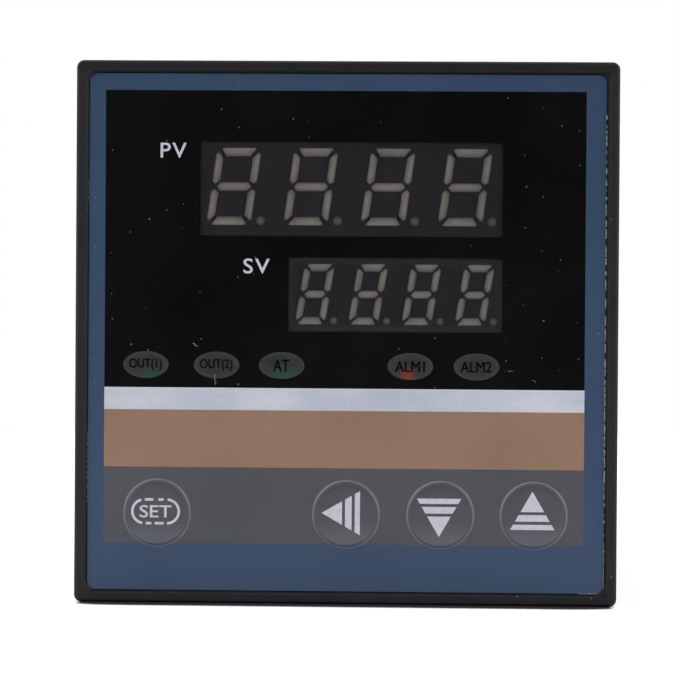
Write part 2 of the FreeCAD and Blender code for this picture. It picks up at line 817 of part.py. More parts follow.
def transformer_winding():
    """Taped coil round the core's centre leg."""
    window_width = (core_length - 2 * core_leg - core_centre_leg) / 2
    length = core_centre_leg + 2 * window_width - 2 * winding_fit
    depth = core_width - 2 * core_leg - 2 * winding_fit
    coil = Part.makeBox(length, depth, winding_height, V(-length / 2, -depth / 2, winding_lift))
    coil = coil.makeChamfer(winding_edge_bevel, edges_along(coil, V(0, 1, 0)))
    lift = winding_lift + (winding_height - core_thickness) / 2
    leg = Part.makeBox(core_centre_leg + 2 * winding_fit, depth + 2, core_thickness + 2 * winding_fit,
                       V(-core_centre_leg / 2 - winding_fit, -depth / 2 - 1, lift - winding_fit))
    return coil.cut(leg)


def transformer_bobbin():
    """Two moulded feet under the core's ends, joined by a thin tray under the coil."""
    lift = winding_lift + (winding_height - core_thickness) / 2
    foot = core_leg
    feet = [Part.makeBox(core_length, foot, lift, V(-core_length / 2, y, 0))
            for y in (-core_width / 2, core_width / 2 - foot)]
    tray_length = core_centre_leg + 2 * core_leg
    tray = Part.makeBox(tray_length, core_width, winding_lift, V(-tray_length / 2, -core_width / 2, 0))
    return fused(feet + [tray])


def relay():
    """Sealed relay: a bevelled cover on a slightly smaller base."""
    step = relay_base_step
    cover = Part.makeBox(relay_length, relay_width, relay_height - relay_base_height,
                         V(-relay_length / 2, -relay_width / 2, relay_base_height))
    cover = cover.makeChamfer(relay_edge_bevel, edges_along(cover, V(0, 0, 1)))
    base = Part.makeBox(relay_length - 2 * step, relay_width - 2 * step, relay_base_height,
                        V(-relay_length / 2 + step, -relay_width / 2 + step, 0))
    base = base.makeChamfer(relay_edge_bevel, edges_along(base, V(0, 0, 1)))
    return cover.fuse(base)


def choke_core():
    """Closed ferrite frame of the mains choke, lying flat at half its coils' height."""
    lift = (choke_coil_height - choke_core_thickness) / 2
    frame = Part.makeBox(choke_length, choke_width, choke_core_thickness,
                         V(-choke_length / 2, -choke_width / 2, lift))
    window_length = choke_length - 2 * choke_leg
    window_width = choke_width - 2 * choke_leg
    window = Part.makeBox(window_length, window_width, choke_core_thickness + 2,
                          V(-window_length / 2, -window_width / 2, lift - 1))
    return frame.cut(window)


def choke_coils():
    """Two coils, one round each long leg of the choke's frame, with their inner sides apart."""
    lift = (choke_coil_height - choke_core_thickness) / 2
    build_up = lift - winding_fit
    coils = []
    for side in (-1, 1):
        leg = side * (choke_width / 2 - choke_leg / 2)
        outer = choke_leg + 2 * winding_fit + 2 * choke_coil_wall
        inner = choke_leg + 2 * winding_fit
        coil = Part.makeBox(choke_coil_length, outer, choke_coil_height,
                            V(-choke_coil_length / 2, leg - outer / 2, 0))
        hole = Part.makeBox(choke_coil_length + 2, inner, choke_coil_height - 2 * build_up,
                            V(-choke_coil_length / 2 - 1, leg - inner / 2, build_up))
        coils.append(coil.cut(hole))
    return Part.makeCompound(coils)


def varistor():
    """Disc standing on edge, with its two leads."""
    centre = varistor_radius + varistor_lift
    t = varistor_thickness
    disc = Part.makeCylinder(varistor_radius, t, V(-t / 2, 0, centre), V(1, 0, 0))
    half = varistor_lead_size / 2
    leads = [Part.makeBox(2 * half, 2 * half, centre, V(-half, side * varistor_lead_spacing / 2 - half, 0))
             for side in (-1, 1)]
    return disc.fuse(leads)


def boxed_part(length, width, height, bevel):
    """Moulded rectangular part with bevelled upright edges."""
    body = Part.makeBox(length, width, height, V(-length / 2, -width / 2, 0))
    return body.makeChamfer(bevel, edges_along(body, V(0, 0, 1)))


def trimmer():
    """Square trimming resistor with a slotted adjusting screw."""
    half = trimmer_size / 2
    body = Part.makeBox(trimmer_size, trimmer_size, trimmer_height, V(-half, -half, 0))
    screw = many_sided(0, 0, trimmer_screw_radius, 0, trimmer_screw_height, shank_sides)
    screw = turned_by(screw, (1, 0, 0), (0, 0, -1), (0, 1, 0))
    screw.translate(V(0, 0, trimmer_height))
    slot = Part.makeBox(3 * trimmer_screw_radius, trimmer_slot_width, trimmer_screw_height,
                        V(-1.5 * trimmer_screw_radius, -trimmer_slot_width / 2,
                          trimmer_height + trimmer_screw_height / 2))
    return body.fuse(screw).cut(slot)


def chip_length(leads):
    """Body length of a two-row chip from its number of leads."""
    return leads / 2 * chip_lead_pitch - 0.6


def dual_row_chip(leads):
    """Two-row chip: body with a square notch at one end and bent leads down to the board."""
    length = chip_length(leads)
    per_side = leads // 2
    body = Part.makeBox(length, chip_width, chip_height, V(-length / 2, -chip_width / 2, chip_lift))
    notch = Part.makeBox(chip_notch, chip_notch, chip_notch,
                         V(-length / 2, -chip_notch / 2, chip_lift + chip_height - chip_notch / 2))
    middle = chip_lift + chip_height / 2
    edge = chip_width / 2
    out = edge + chip_lead_reach
    t = chip_lead_thickness
    side_view = [(edge, middle), (out, middle), (out, 0), (out - t, 0), (out - t, middle - t),
                 (edge, middle - t)]
    solids = []
    for side in (-1, 1):
        for i in range(per_side):
            x = (i - (per_side - 1) / 2) * chip_lead_pitch - chip_lead_width / 2
            solids.append(extruded([V(x, side * y, z) for y, z in side_view], V(chip_lead_width, 0, 0)))
    return body.cut(notch).fuse(solids)


def lined_up(side, z, row):
    """Places a row of parts along a board, front to back, each after the last with a gap."""
    placed = {}
    y = component_start
    for length, pieces in row:
        for name, shape in pieces.items():
            placed[name] = on_side_board(shape, side, y + length / 2, z)
        y += length + component_gap
    return placed


def power_board_parts():
    """Mains side: fuse, varistor, choke, transformer, capacitors and the supply chips."""
    mains_can = can_capacitor(mains_capacitor_radius, mains_capacitor_height)
    output_can = can_capacitor(output_capacitor_radius, output_capacitor_height)
    transformer = {"transformer_core": transformer_core(),
                   "transformer_winding": transformer_winding(),
                   "transformer_bobbin": transformer_bobbin()}
    upper = [(fuse_length, {"fuse": boxed_part(fuse_length, fuse_width, fuse_height, fuse_bevel)}),
             (varistor_thickness, {"varistor": varistor()}),
             (choke_length, {"choke_core": choke_core(), "choke_coils": choke_coils()}),
             (2 * mains_capacitor_radius, {"mains_capacitor": mains_can}),
             (chip_length(short_chip_count), {"bridge_rectifier": dual_row_chip(short_chip_count)})]
    lower = [(chip_length(long_chip_count), {"supply_chip": dual_row_chip(long_chip_count)}),
             (core_length, transformer),
             (chip_length(short_chip_count), {"supply_optocoupler": dual_row_chip(short_chip_count)}),
             (2 * output_capacitor_radius, {"output_capacitor_1": output_can}),
             (2 * output_capacitor_radius, {"output_capacitor_2": output_can})]
    return {**lined_up(-1, row_z, upper), **lined_up(-1, -row_z, lower)}


def signal_board_parts():
    """Signal side: relays, input amplifier, memory, trimmers and a filter capacitor."""
    snubber = boxed_part(film_capacitor_length, film_capacitor_width, film_capacitor_height,
                         film_capacitor_bevel)
    upper = [(chip_length(long_chip_count), {"input_amplifier": dual_row_chip(long_chip_count)}),
             (trimmer_size, {"zero_trimmer": trimmer()}),
             (trimmer_size, {"span_trimmer": trimmer()}),
             (relay_length, {"output_relay": relay()}),
             (film_capacitor_length, {"snubber_capacitor": snubber})]
    lower = [(chip_length(long_chip_count), {"memory_chip": dual_row_chip(long_chip_count)}),
             (chip_length(long_chip_count), {"relay_driver_chip": dual_row_chip(long_chip_count)}),
             (relay_length, {"alarm_relay": relay()}),
             (chip_length(short_chip_count), {"output_optocoupler": dual_row_chip(short_chip_count)})]
    return {**lined_up(1, row_z, upper), **lined_up(1, -row_z, lower)}


# ================================================================ every node
def make_nodes():
    nodes = {
        "case_sleeve": make_case(),
        "terminal_block": make_terminal_block(),
        "terminal_contacts": at_each_terminal(terminal_contact),
        "terminal_washers": at_each_terminal(clamp_washer),
        "terminal_screws": at_each_terminal(terminal_screw),
        "front_bezel": make_bezel(),
        "release_latch": make_latch(),
        "keypad_film": make_film(),
        "upper_display_shell": make_display_shell(upper_display),
        "upper_display_segments": make_display_bars(upper_display),
        "lower_display_shell": make_display_shell(lower_display),
        "lower_display_segments": make_display_bars(lower_display),
        "display_board": make_display_board(),
        "output_lamp": make_lamp(lamp_window_centres_x[0] + output_lamp_offset),
        "tuning_lamp": make_lamp(lamp_window_centres_x[2]),
        "alarm_lamp": make_lamp(lamp_window_centres_x[3]),
        "switch_bases": Part.makeCompound([switch_base(x) for x in key_centres_x]),
        "switch_covers": Part.makeCompound([switch_cover(x) for x in key_centres_x]),
        "microcontroller": make_flat_chip(),
        "clock_crystal": make_crystal(),
        "power_board": make_side_board(-1),
        "signal_board": make_side_board(1),
        "power_board_header": make_header(-1),
        "signal_board_header": make_header(1),
    }
    for name, x in zip(key_names, key_centres_x):
        nodes[name + "_key_stem"] = key_stem(x)
    nodes.update(power_board_parts())
    nodes.update(signal_board_parts())
    return nodes


os.makedirs("parts", exist_ok=True)
for node_name, node_shape in make_nodes().items():
    node_shape.exportStep(os.path.join("parts", node_name + ".step"))
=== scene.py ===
import math

import bmesh
import bpy
import numpy as np
from mathutils import Matrix, Vector


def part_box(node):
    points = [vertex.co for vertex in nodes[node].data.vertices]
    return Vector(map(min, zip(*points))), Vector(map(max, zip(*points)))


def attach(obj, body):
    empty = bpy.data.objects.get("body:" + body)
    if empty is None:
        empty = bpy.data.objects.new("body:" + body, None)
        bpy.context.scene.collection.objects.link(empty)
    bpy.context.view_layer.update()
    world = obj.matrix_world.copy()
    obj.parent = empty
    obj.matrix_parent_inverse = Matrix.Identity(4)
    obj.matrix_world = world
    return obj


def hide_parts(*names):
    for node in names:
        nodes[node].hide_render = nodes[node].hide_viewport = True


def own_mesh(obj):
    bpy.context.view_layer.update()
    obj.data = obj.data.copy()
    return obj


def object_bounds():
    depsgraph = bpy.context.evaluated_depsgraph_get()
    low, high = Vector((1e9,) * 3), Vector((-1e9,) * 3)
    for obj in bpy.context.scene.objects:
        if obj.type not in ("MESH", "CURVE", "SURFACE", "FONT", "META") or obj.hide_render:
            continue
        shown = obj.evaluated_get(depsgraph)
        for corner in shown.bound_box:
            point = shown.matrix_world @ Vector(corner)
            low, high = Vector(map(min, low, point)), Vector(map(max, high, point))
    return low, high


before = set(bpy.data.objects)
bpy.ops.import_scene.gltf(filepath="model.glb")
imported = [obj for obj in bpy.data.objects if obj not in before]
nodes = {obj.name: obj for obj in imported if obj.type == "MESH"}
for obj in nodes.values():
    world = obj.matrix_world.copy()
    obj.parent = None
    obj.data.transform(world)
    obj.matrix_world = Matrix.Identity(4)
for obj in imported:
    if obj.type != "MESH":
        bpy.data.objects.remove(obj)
cad_box = [list(corner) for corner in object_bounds()]
scene = bpy.context.scene
scene.view_settings.view_transform = "Standard"
mm = 0.001


# ------------------------------------------------------------------ table, light and camera
# The controller stands on the lower edge of its bezel on a small white table, in a white room
# that is dim only behind the camera. Two soft lamps stand in front of it, left and right.


class Nodes:
    """Adds nodes to a node tree and links them."""

    def __init__(self, tree):
        self.tree = tree
        self.coordinates = self.node("TexCoord").outputs
        self.place = self.coordinates["Object"]

    def node(self, kind, feeds=None, **settings):
        """Adds a node: settings are its own, and feeds gives values or links to its inputs."""
        made = self.tree.nodes.new("ShaderNode" + kind)
        for setting, value in settings.items():
            setattr(made, setting, value)
        for socket, value in (feeds or {}).items():
            self.join(made.inputs[socket], value)
        return made

    def join(self, socket, value):
        """Links a value or sets it. A colour given as three numbers is 0 to 255 a channel."""
        if isinstance(value, bpy.types.NodeSocket):
            self.tree.links.new(value, socket)
        else:
            is_colour = socket.type == "RGBA" and len(value) == 3
            socket.default_value = colour(*value) if is_colour else value

    def noise(self, size, detail=2.0, place=None, stretch=None):
        """Soft noise from 0 to 1 with lumps of about that size in millimetres."""
        place = place or self.place
        if stretch:
            place = self.node("Mapping", {"Vector": place, "Scale": stretch}).outputs[0]
        feeds = {"Vector": place, "Scale": 1 / (size * mm), "Detail": detail}
        return self.node("TexNoise", feeds).outputs[0]

    def spread(self, value, low, high, to_low=0.0, to_high=1.0):
        """Carries low..high of a value to to_low..to_high, and no further."""
        feeds = {0: value, 1: low, 2: high, 3: to_low, 4: to_high}
        return self.node("MapRange", feeds).outputs[0]

    def cloud(self, size, detail=2.0, low=0.0, high=1.0, **where):
        """Soft noise with its middle range carried to low..high."""
        return self.spread(self.noise(size, detail, **where), 0.3, 0.7, low, high)

    def sum(self, kind, first, second=0.0):
        return self.node("Math", {0: first, 1: second}, operation=kind).outputs[0]

    def times(self, first, second):
        return self.sum("MULTIPLY", first, second)

    def plus(self, first, second):
        return self.sum("ADD", first, second)

    def minus(self, first, second):
        return self.sum("SUBTRACT", first, second)

    def most(self, first, second):
        return self.sum("MAXIMUM", first, second)

    def absolute(self, value):
        return self.sum("ABSOLUTE", value)

    def over(self, value, limit):
        return self.sum("GREATER_THAN", value, limit)

    def under(self, value, limit):
        return self.sum("LESS_THAN", value, limit)

    def within(self, value, low, high):
        """1 where a coordinate lies between two places in millimetres."""
        return self.times(self.over(value, low * mm), self.under(value, high * mm))

    def mix(self, share, first, second):
        """The first colour turning into the second as share goes from 0 to 1."""
        return self.node("Mix", {0: share, 6: first, 7: second}, data_type="RGBA").outputs[2]

    def bump(self, height, depth, normal=None):
        """A normal from a height of 0 to 1, where 1 stands that many millimetres proud."""
        feeds = {"Height": height, "Strength": 1.0, "Distance": depth * mm}
        if normal:
            feeds["Normal"] = normal
        return self.node("Bump", feeds).outputs[0]

    def rounded_edges(self, radius):
        """Normals that turn softly over every edge within radius millimetres."""
        return self.node("Bevel", {"Radius": radius * mm}, samples=6).outputs[0]

    def edge_wear(self, rounded):
        """0 on flat faces and 1 on edges, from how far a rounded normal leaves the true one."""
        true = self.node("NewGeometry").outputs["Normal"]
        turn = self.node("VectorMath", {0: rounded, 1: true}, operation="DOT_PRODUCT").outputs["Value"]
        return self.spread(turn, 0.98, 0.8)

    def across(self):
        """The three object coordinates one by one, in metres."""
        return self.node("SeparateXYZ", {0: self.place}).outputs

    def attribute(self, name):
        return self.node("Attribute", attribute_name=name).outputs["Fac"]


class Finish(Nodes):
    """A material: one Principled shader and the nodes that feed it, read from Object coordinates."""

    def __init__(self, name, **sockets):
        self.material = bpy.data.materials.new(name)
        self.material.use_nodes = True
        super().__init__(self.material.node_tree)
        self.shader = self.tree.nodes["Principled BSDF"]
        for socket, value in sockets.items():
            self.feed(socket.replace("_", " ").title().replace("Ior", "IOR"), value)

    def feed(self, socket, value):
        self.join(self.shader.inputs[socket], value)

    def tint(self, share, first, second):
        """The surface turns from the first colour to the second as share goes from 0 to 1."""
        self.feed("Base Color", self.mix(share, first, second))

    def tinted(self):
        """What feeds the surface's colour so far."""
        return self.shader.inputs["Base Color"].links[0].from_socket

    def relief(self, height, depth, radius):
        """A bump of that height and depth over edges rounded by radius millimetres."""
        self.feed("Normal", self.bump(height, depth, self.rounded_edges(radius)))


def colour(red, green, blue):
    """A colour written as it should show, 0 to 255 a channel, as the linear light a shader takes."""
    shown = np.array([red, green, blue]) / 255
    light = np.where(shown <= 0.04045, shown / 12.92, ((shown + 0.055) / 1.055) ** 2.4)
    return (*light.tolist(), 1.0)


def room_light():
    """White where the camera looks, and even light from all sides but the dim part in front."""
    world = bpy.data.worlds.new("room")
    scene.world = world
    world.use_nodes = True
    room = Nodes(world.node_tree)
    direction = room.coordinates["Generated"]
    to_camera = room.node("VectorMath", {0: direction, 1: (0.0, -1.0, 0.0)}, operation="DOT_PRODUCT")
    edge, middle = math.cos(math.radians(66)), math.cos(math.radians(34))
    dim = room.spread(to_camera.outputs["Value"], edge, middle, 0.95, 0.04)
    seen = room.node("LightPath").outputs["Is Camera Ray"]
    strength = room.node("Mix", {0: seen, 2: dim, 3: 1.0}, data_type="FLOAT").outputs[0]
    background = room.tree.nodes["Background"].inputs
    room.join(background["Color"], (1.0, 1.0, 1.0, 1.0))
    room.join(background["Strength"], strength)


def lamp(name, place, size, power):
    """A square soft lamp that faces the controller."""
    light = bpy.data.lights.new(name, "AREA")
    light.shape = "RECTANGLE"
    light.size, light.size_y = size
    light.energy = power
    lamp_object = bpy.data.objects.new(name, light)
    scene.collection.objects.link(lamp_object)
    turn = (-Vector(place)).to_track_quat("-Z", "Y").to_matrix().to_4x4()
    lamp_object.matrix_world = Matrix.Translation(place) @ turn


def table_finish():
    """White laminate with a painted contact shadow, dark where ambient occlusion finds something close."""
    finish = Finish("white_table", roughness=0.6)
    # Painted contact shadow: the colour and the camera glow go dark within 9 mm of the controller, between
    # the bezel's sides only.
    contact_occlusion = finish.node("AmbientOcclusion", {"Distance": 9 * mm}, samples=32).outputs["AO"]
    beside = finish.absolute(finish.across()[0])
    outside = finish.spread(beside, 35.0 * mm, 35.9 * mm)
    outside_painted_shadow = finish.most(finish.spread(contact_occlusion, 0.79, 0.87), outside)
    grain = finish.cloud(40.0, 2.0, 0.98, 1.0)
    white = finish.times(grain, outside_painted_shadow)
    tint = finish.mix(white, (0.01, 0.01, 0.011, 1.0), (0.93, 0.93, 0.93, 1.0))
    finish.feed("Base Color", tint)
    path = finish.node("LightPath").outputs
    seen = finish.most(path["Is Camera Ray"], path["Is Transmission Ray"])
    finish.feed("Emission Color", (1.0, 1.0, 1.0, 1.0))
    glow = finish.times(seen, finish.spread(white, 0.0, 1.0, 0.006, 0.42))
    finish.feed("Emission Strength", glow)
    return finish.material


def lay_table(width, front_edge, back_edge):
    """A flat table top at the height of the controller's lowest edge."""
    low = cad_box[0][2]
    x, y = np.meshgrid(np.linspace(-width / 2, width / 2, 9), np.linspace(front_edge, back_edge, 9))
    points = np.stack([x, y, np.full_like(x, low)], -1).reshape(-1, 3)
    corner = (np.arange(8)[:, None] * 9 + np.arange(8)).reshape(-1, 1)
    mesh = bpy.data.meshes.new("table")
    mesh.from_pydata(points.tolist(), [], (corner + [0, 1, 10, 9]).tolist())
    mesh.materials.append(table_finish())
    table = bpy.data.objects.new("table", mesh)
    scene.collection.objects.link(table)


def place_camera(place, yaw, pitch, roll, lens):
    """A long lens at a place in metres, turned by angles in degrees from looking along +Y."""
    yaw, pitch, roll = (math.radians(angle) for angle in (yaw, pitch, roll))
    ahead = np.array([math.sin(yaw) * math.cos(pitch), math.cos(yaw) * math.cos(pitch), math.sin(pitch)])
    level = np.array([math.cos(yaw), -math.sin(yaw), 0.0])
    upright = np.cross(level, ahead)
    right = level * math.cos(roll) + upright * math.sin(roll)
    up = upright * math.cos(roll) - level * math.sin(roll)
    camera = bpy.data.objects.new("camera", bpy.data.cameras.new("camera"))
    camera.data.lens = lens
    camera.data.sensor_width = 36.0
    camera.data.clip_start = 0.01
    scene.collection.objects.link(camera)
    turn = Matrix(np.array([right, up, -ahead]).T.tolist()).to_4x4()
    camera.matrix_world = Matrix.Translation(place) @ turn
    scene.camera = camera


room_light()
lamp("left_lamp", (-0.55, -0.6, 0.35), (0.5, 0.5), 3.6)
lamp("right_lamp", (0.6, -0.55, 0.3), (0.4, 0.5), 2.8)
lay_table(1.2, -0.13, 0.6)
place_camera(place=(0.0191, -0.5, 0.0055), yaw=-2.32, pitch=-0.75, roll=0.395, lens=196.4)


# ------------------------------------------------------------------ case
# A deep square sleeve moulded in black flame-proof plastic, with a finely eroded surface. It
# slides through the panel from the front, and its flange stops against the panel.


dust_scale = 420.0
black = (0.0, 0.0, 0.0, 1.0)


def paint(finish, *painted):
    """Gives CAD nodes their finish."""
    for node in painted:
        slots = nodes[node].material_slots
        for slot in slots:
            slot.material = finish.material
        if not slots:
            nodes[node].data.materials.append(finish.material)


def moulding(name, shade, roughness, grain, depth, worn=1.6, dust=0.5):
    """Moulded plastic: an even grain, edges rubbed a little paler, and a few specks of dust.
    grain is the size of the texture and depth its relief, in millimetres."""
    finish = Finish(name, specular_ior_level=0.25)
    rounded = finish.rounded_edges(0.16)
    wear = finish.times(finish.edge_wear(rounded), finish.spread(finish.noise(2.2, 3.0), 0.35, 0.7))
    cloud = finish.cloud(9.0, 4.0, 0.86, 1.12)
    pale = tuple(min(1.0, part * worn + 0.012) for part in colour(*shade)[:3]) + (1.0,)
    body = finish.mix(cloud, black, shade)
    edged = finish.mix(wear, body, pale)
    specks = finish.node("TexVoronoi", {"Vector": finish.place, "Scale": dust_scale}).outputs[0]
    lint = finish.spread(specks, 0.05, 0.03, 0.0, dust)
    finish.tint(lint, edged, (0.3, 0.3, 0.31, 1.0))
    finish.feed("Roughness", finish.cloud(1.4, 3.0, roughness - 0.07, roughness + 0.07))
    finish.feed("Normal", finish.bump(finish.noise(grain, 2.0), depth, rounded))
    return finish


paint(moulding("case_plastic", (33, 33, 35), 0.55, 0.22, 0.012), "case_sleeve")


# ------------------------------------------------------------------ bezel and latch
# The front frame is moulded in dark grey plastic with a finer grain than the case. The latch is a
# spring tongue of the same plastic that grows from the frame's lower edge.

recess_edge = 34.62


def shaded_recess(finish):
    """Paints shade on the rim's last quarter millimetre beside the film, where its edge turns in, and on its
    top.
    """
    place = finish.across()
    reach = finish.most(finish.absolute(place[2]), finish.absolute(place[0]))
    inner = finish.under(reach, recess_edge * mm)
    open_side = finish.over(place[0], -33.9 * mm)
    # Painted shade: the top of the rim is darkened, and the rim beside the film is painted near-black as the
    # shade of the gap round it, except on the left.
    top_rim_shade = finish.spread(place[2], 34.4 * mm, 34.7 * mm, 0.0, 0.3)
    darker = finish.mix(top_rim_shade, finish.tinted(), black)
    gap = finish.times(finish.times(inner, open_side), 0.85)
    finish.tint(gap, darker, (0.0012, 0.0012, 0.0012, 1.0))
    return finish


bezel_plastic = moulding("bezel_plastic", (29, 28, 31), 0.5, 0.16, 0.01, worn=2.2, dust=0.5)
paint(shaded_recess(bezel_plastic), "front_bezel", "release_latch")


# ------------------------------------------------------------------ keypad film
# One sheet of clear polyester, printed on its back and stuck into the recess of the bezel: a blue
# ground, a black display field, a white, a tan and a grey band. Two tinted clear windows lie over
# the displays and five milky ovals over the lamps, and a round key is embossed over each switch.


class Piece:
    """Collects grids of points, in millimetres, and makes them one mesh with closed seams and poles."""

    def __init__(self):
        self.points, self.faces, self.kinds, self.marks = [], [], [], []
        self.count = 0

    def add(self, points, faces, kind=0, mark=0.0):
        """Loose points (n, 3) and faces of 3 or 4 corners. kind picks the finish, and mark is kept."""
        points = np.asarray(points, float).reshape(-1, 3)
        self.points.append(points)
        self.faces += (np.asarray(faces) + self.count).tolist()
        self.kinds.append(np.full(len(faces), kind))
        self.marks.append(np.broadcast_to(np.asarray(mark, float).reshape(-1), len(points)))
        self.count += len(points)

    def grid(self, points, round_rows=False, round_columns=False, kind=0, mark=0.0):
        """A surface given by points (rows, columns, 3). A round side joins its last line to its first."""
        rows, columns = points.shape[:2]
        row = np.arange(rows if round_rows else rows - 1)[:, None]
        column = np.arange(columns if round_columns else columns - 1)[None]
        next_row, next_column = (row + 1) % rows, (column + 1) % columns
        corners = [row * columns + column, next_row * columns + column,
                   next_row * columns + next_column, row * columns + next_column]
        self.add(points, np.stack(np.broadcast_arrays(*corners), -1).reshape(-1, 4), kind, mark)

    def make(self, name, body, slot, *finishes, crease=35.0):
        mesh = bpy.data.meshes.new(name)
        mesh.from_pydata((np.concatenate(self.points) * mm).tolist(), [], self.faces)
        mesh.polygons.foreach_set("material_index", np.concatenate(self.kinds).astype(np.int32))
        mesh.attributes.new("mark", "FLOAT", "POINT")
        mesh.attributes["mark"].data.foreach_set("value", np.concatenate(self.marks).astype(np.float32))
        shape = bmesh.new()
        shape.from_mesh(mesh)
        bmesh.ops.remove_doubles(shape, verts=shape.verts, dist=1e-7)
        bmesh.ops.recalc_face_normals(shape, faces=shape.faces)
        shape.to_mesh(mesh)
        shape.free()
        mesh.shade_smooth()
        mesh.set_sharp_from_angle(angle=math.radians(crease))
        for finish in finishes:
            mesh.materials.append(finish.material)
        made = bpy.data.objects.new(name, mesh)
        scene.collection.objects.link(made)
        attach(made, body)
        return made


def rounded_outline(x, z, width, height, corner, steps=8):
    """Outline of a rectangle with corner arcs: a quarter turn about each of four corner centres."""
    turn = np.linspace(0, math.pi / 2, steps) + np.arange(4)[:, None] * math.pi / 2
    centres = np.array([(1, 1), (-1, 1), (-1, -1), (1, -1)]) * (width / 2 - corner, height / 2 - corner)
    points = centres[:, None] + corner * np.stack([np.cos(turn), np.sin(turn)], -1)
    return points.reshape(-1, 2) + (x, z)


def oval_outline(x, z, width, height, steps=64):
    """Outline of an ellipse: half its width times the cosine, half its height times the sine."""
    turn = np.arange(steps) * 2 * math.pi / steps
    return np.stack([x + width / 2 * np.cos(turn), z + height / 2 * np.sin(turn)], -1)


def at_depth(flat, y):
    """Flat (x, z) points as (x, y, z), at one y or each at its own."""
    return np.stack([flat[..., 0], np.broadcast_to(y, flat.shape[:-1]), flat[..., 1]], -1)


def box_outline(left, right, low, high):
    return np.array([(left, low), (right, low), (right, high), (left, high)])


def filled(curve):
    """The mesh of a flat curve, as points and triangles."""
    holder = bpy.data.objects.new("outline", curve)
    mesh = bpy.data.meshes.new_from_object(holder)
    mesh.calc_loop_triangles()
    points = np.empty(len(mesh.vertices) * 3)
    mesh.vertices.foreach_get("co", points)
    triangles = np.empty(len(mesh.loop_triangles) * 3, int)
    mesh.loop_triangles.foreach_get("vertices", triangles)
    bpy.data.objects.remove(holder)
    bpy.data.curves.remove(curve)
    bpy.data.meshes.remove(mesh)
    return points.reshape(-1, 3), triangles.reshape(-1, 3)


def stood_up(points, front, back):
    """Flat points (x, up, through) as (x, y, z), with their thickness from front to back."""
    return np.stack([points[:, 0], (front + back) / 2 - points[:, 2], points[:, 1]], -1)


def cut_sheet(outlines, front, back):
    """A flat sheet between two y, with the first outline outside and the others cut out of it."""
    curve = bpy.data.curves.new("sheet", "CURVE")
    curve.dimensions = "2D"
    curve.fill_mode = "BOTH"
    curve.extrude = (back - front) / 2
    for outline in outlines:
        spline = curve.splines.new("POLY")
        spline.points.add(len(outline) - 1)
        flat = np.column_stack([outline, np.zeros(len(outline)), np.ones(len(outline))])
        spline.points.foreach_set("co", flat.ravel())
        spline.use_cyclic_u = True
    points, triangles = filled(curve)
    return stood_up(points, front, back), triangles


def turned(profile, centre, along, sides):
    """A profile of (radius, height) points turned about a line through centre, along x, y or z."""
    profile = np.asarray(profile, float)
    turn = np.arange(sides) * 2 * math.pi / sides
    circle = profile[:, :1] * np.cos(turn), profile[:, :1] * np.sin(turn)
    points = np.empty((len(profile), sides, 3))
    first, second = {"x": (1, 2), "y": (0, 2), "z": (0, 1)}[along]
    points[..., first], points[..., second] = circle
    points[..., "xyz".index(along)] = profile[:, 1:]
    return points + np.asarray(centre, float)


film_high = np.array(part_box("keypad_film")[1]) / mm
film_half = film_high[0]
film_corner = 0.75
film_front = -8.5
film_back = film_high[1]
ground_left, ground_right = -32.13, 31.6
white_band, tan_band, grey_band, keys_end = -7.58, -10.34, -18.06, -28.06
field_top = 32.07
upper_window = (-19.68, 20.64, 12.62, 25.38)
lower_window = (-7.84, 20.62, 0.1, 10.02)
lamp_places = (-26.6, -17.2, -8.54, 8.54, 17.3)
lamp_row = -4.38
lamp_oval = (6.05, 3.56)
key_places = {"set": -25.0, "shift": 0.15, "down": 12.65, "up": 25.0}
key_row = -24.0
key_radius = 4.6
key_sides = 72


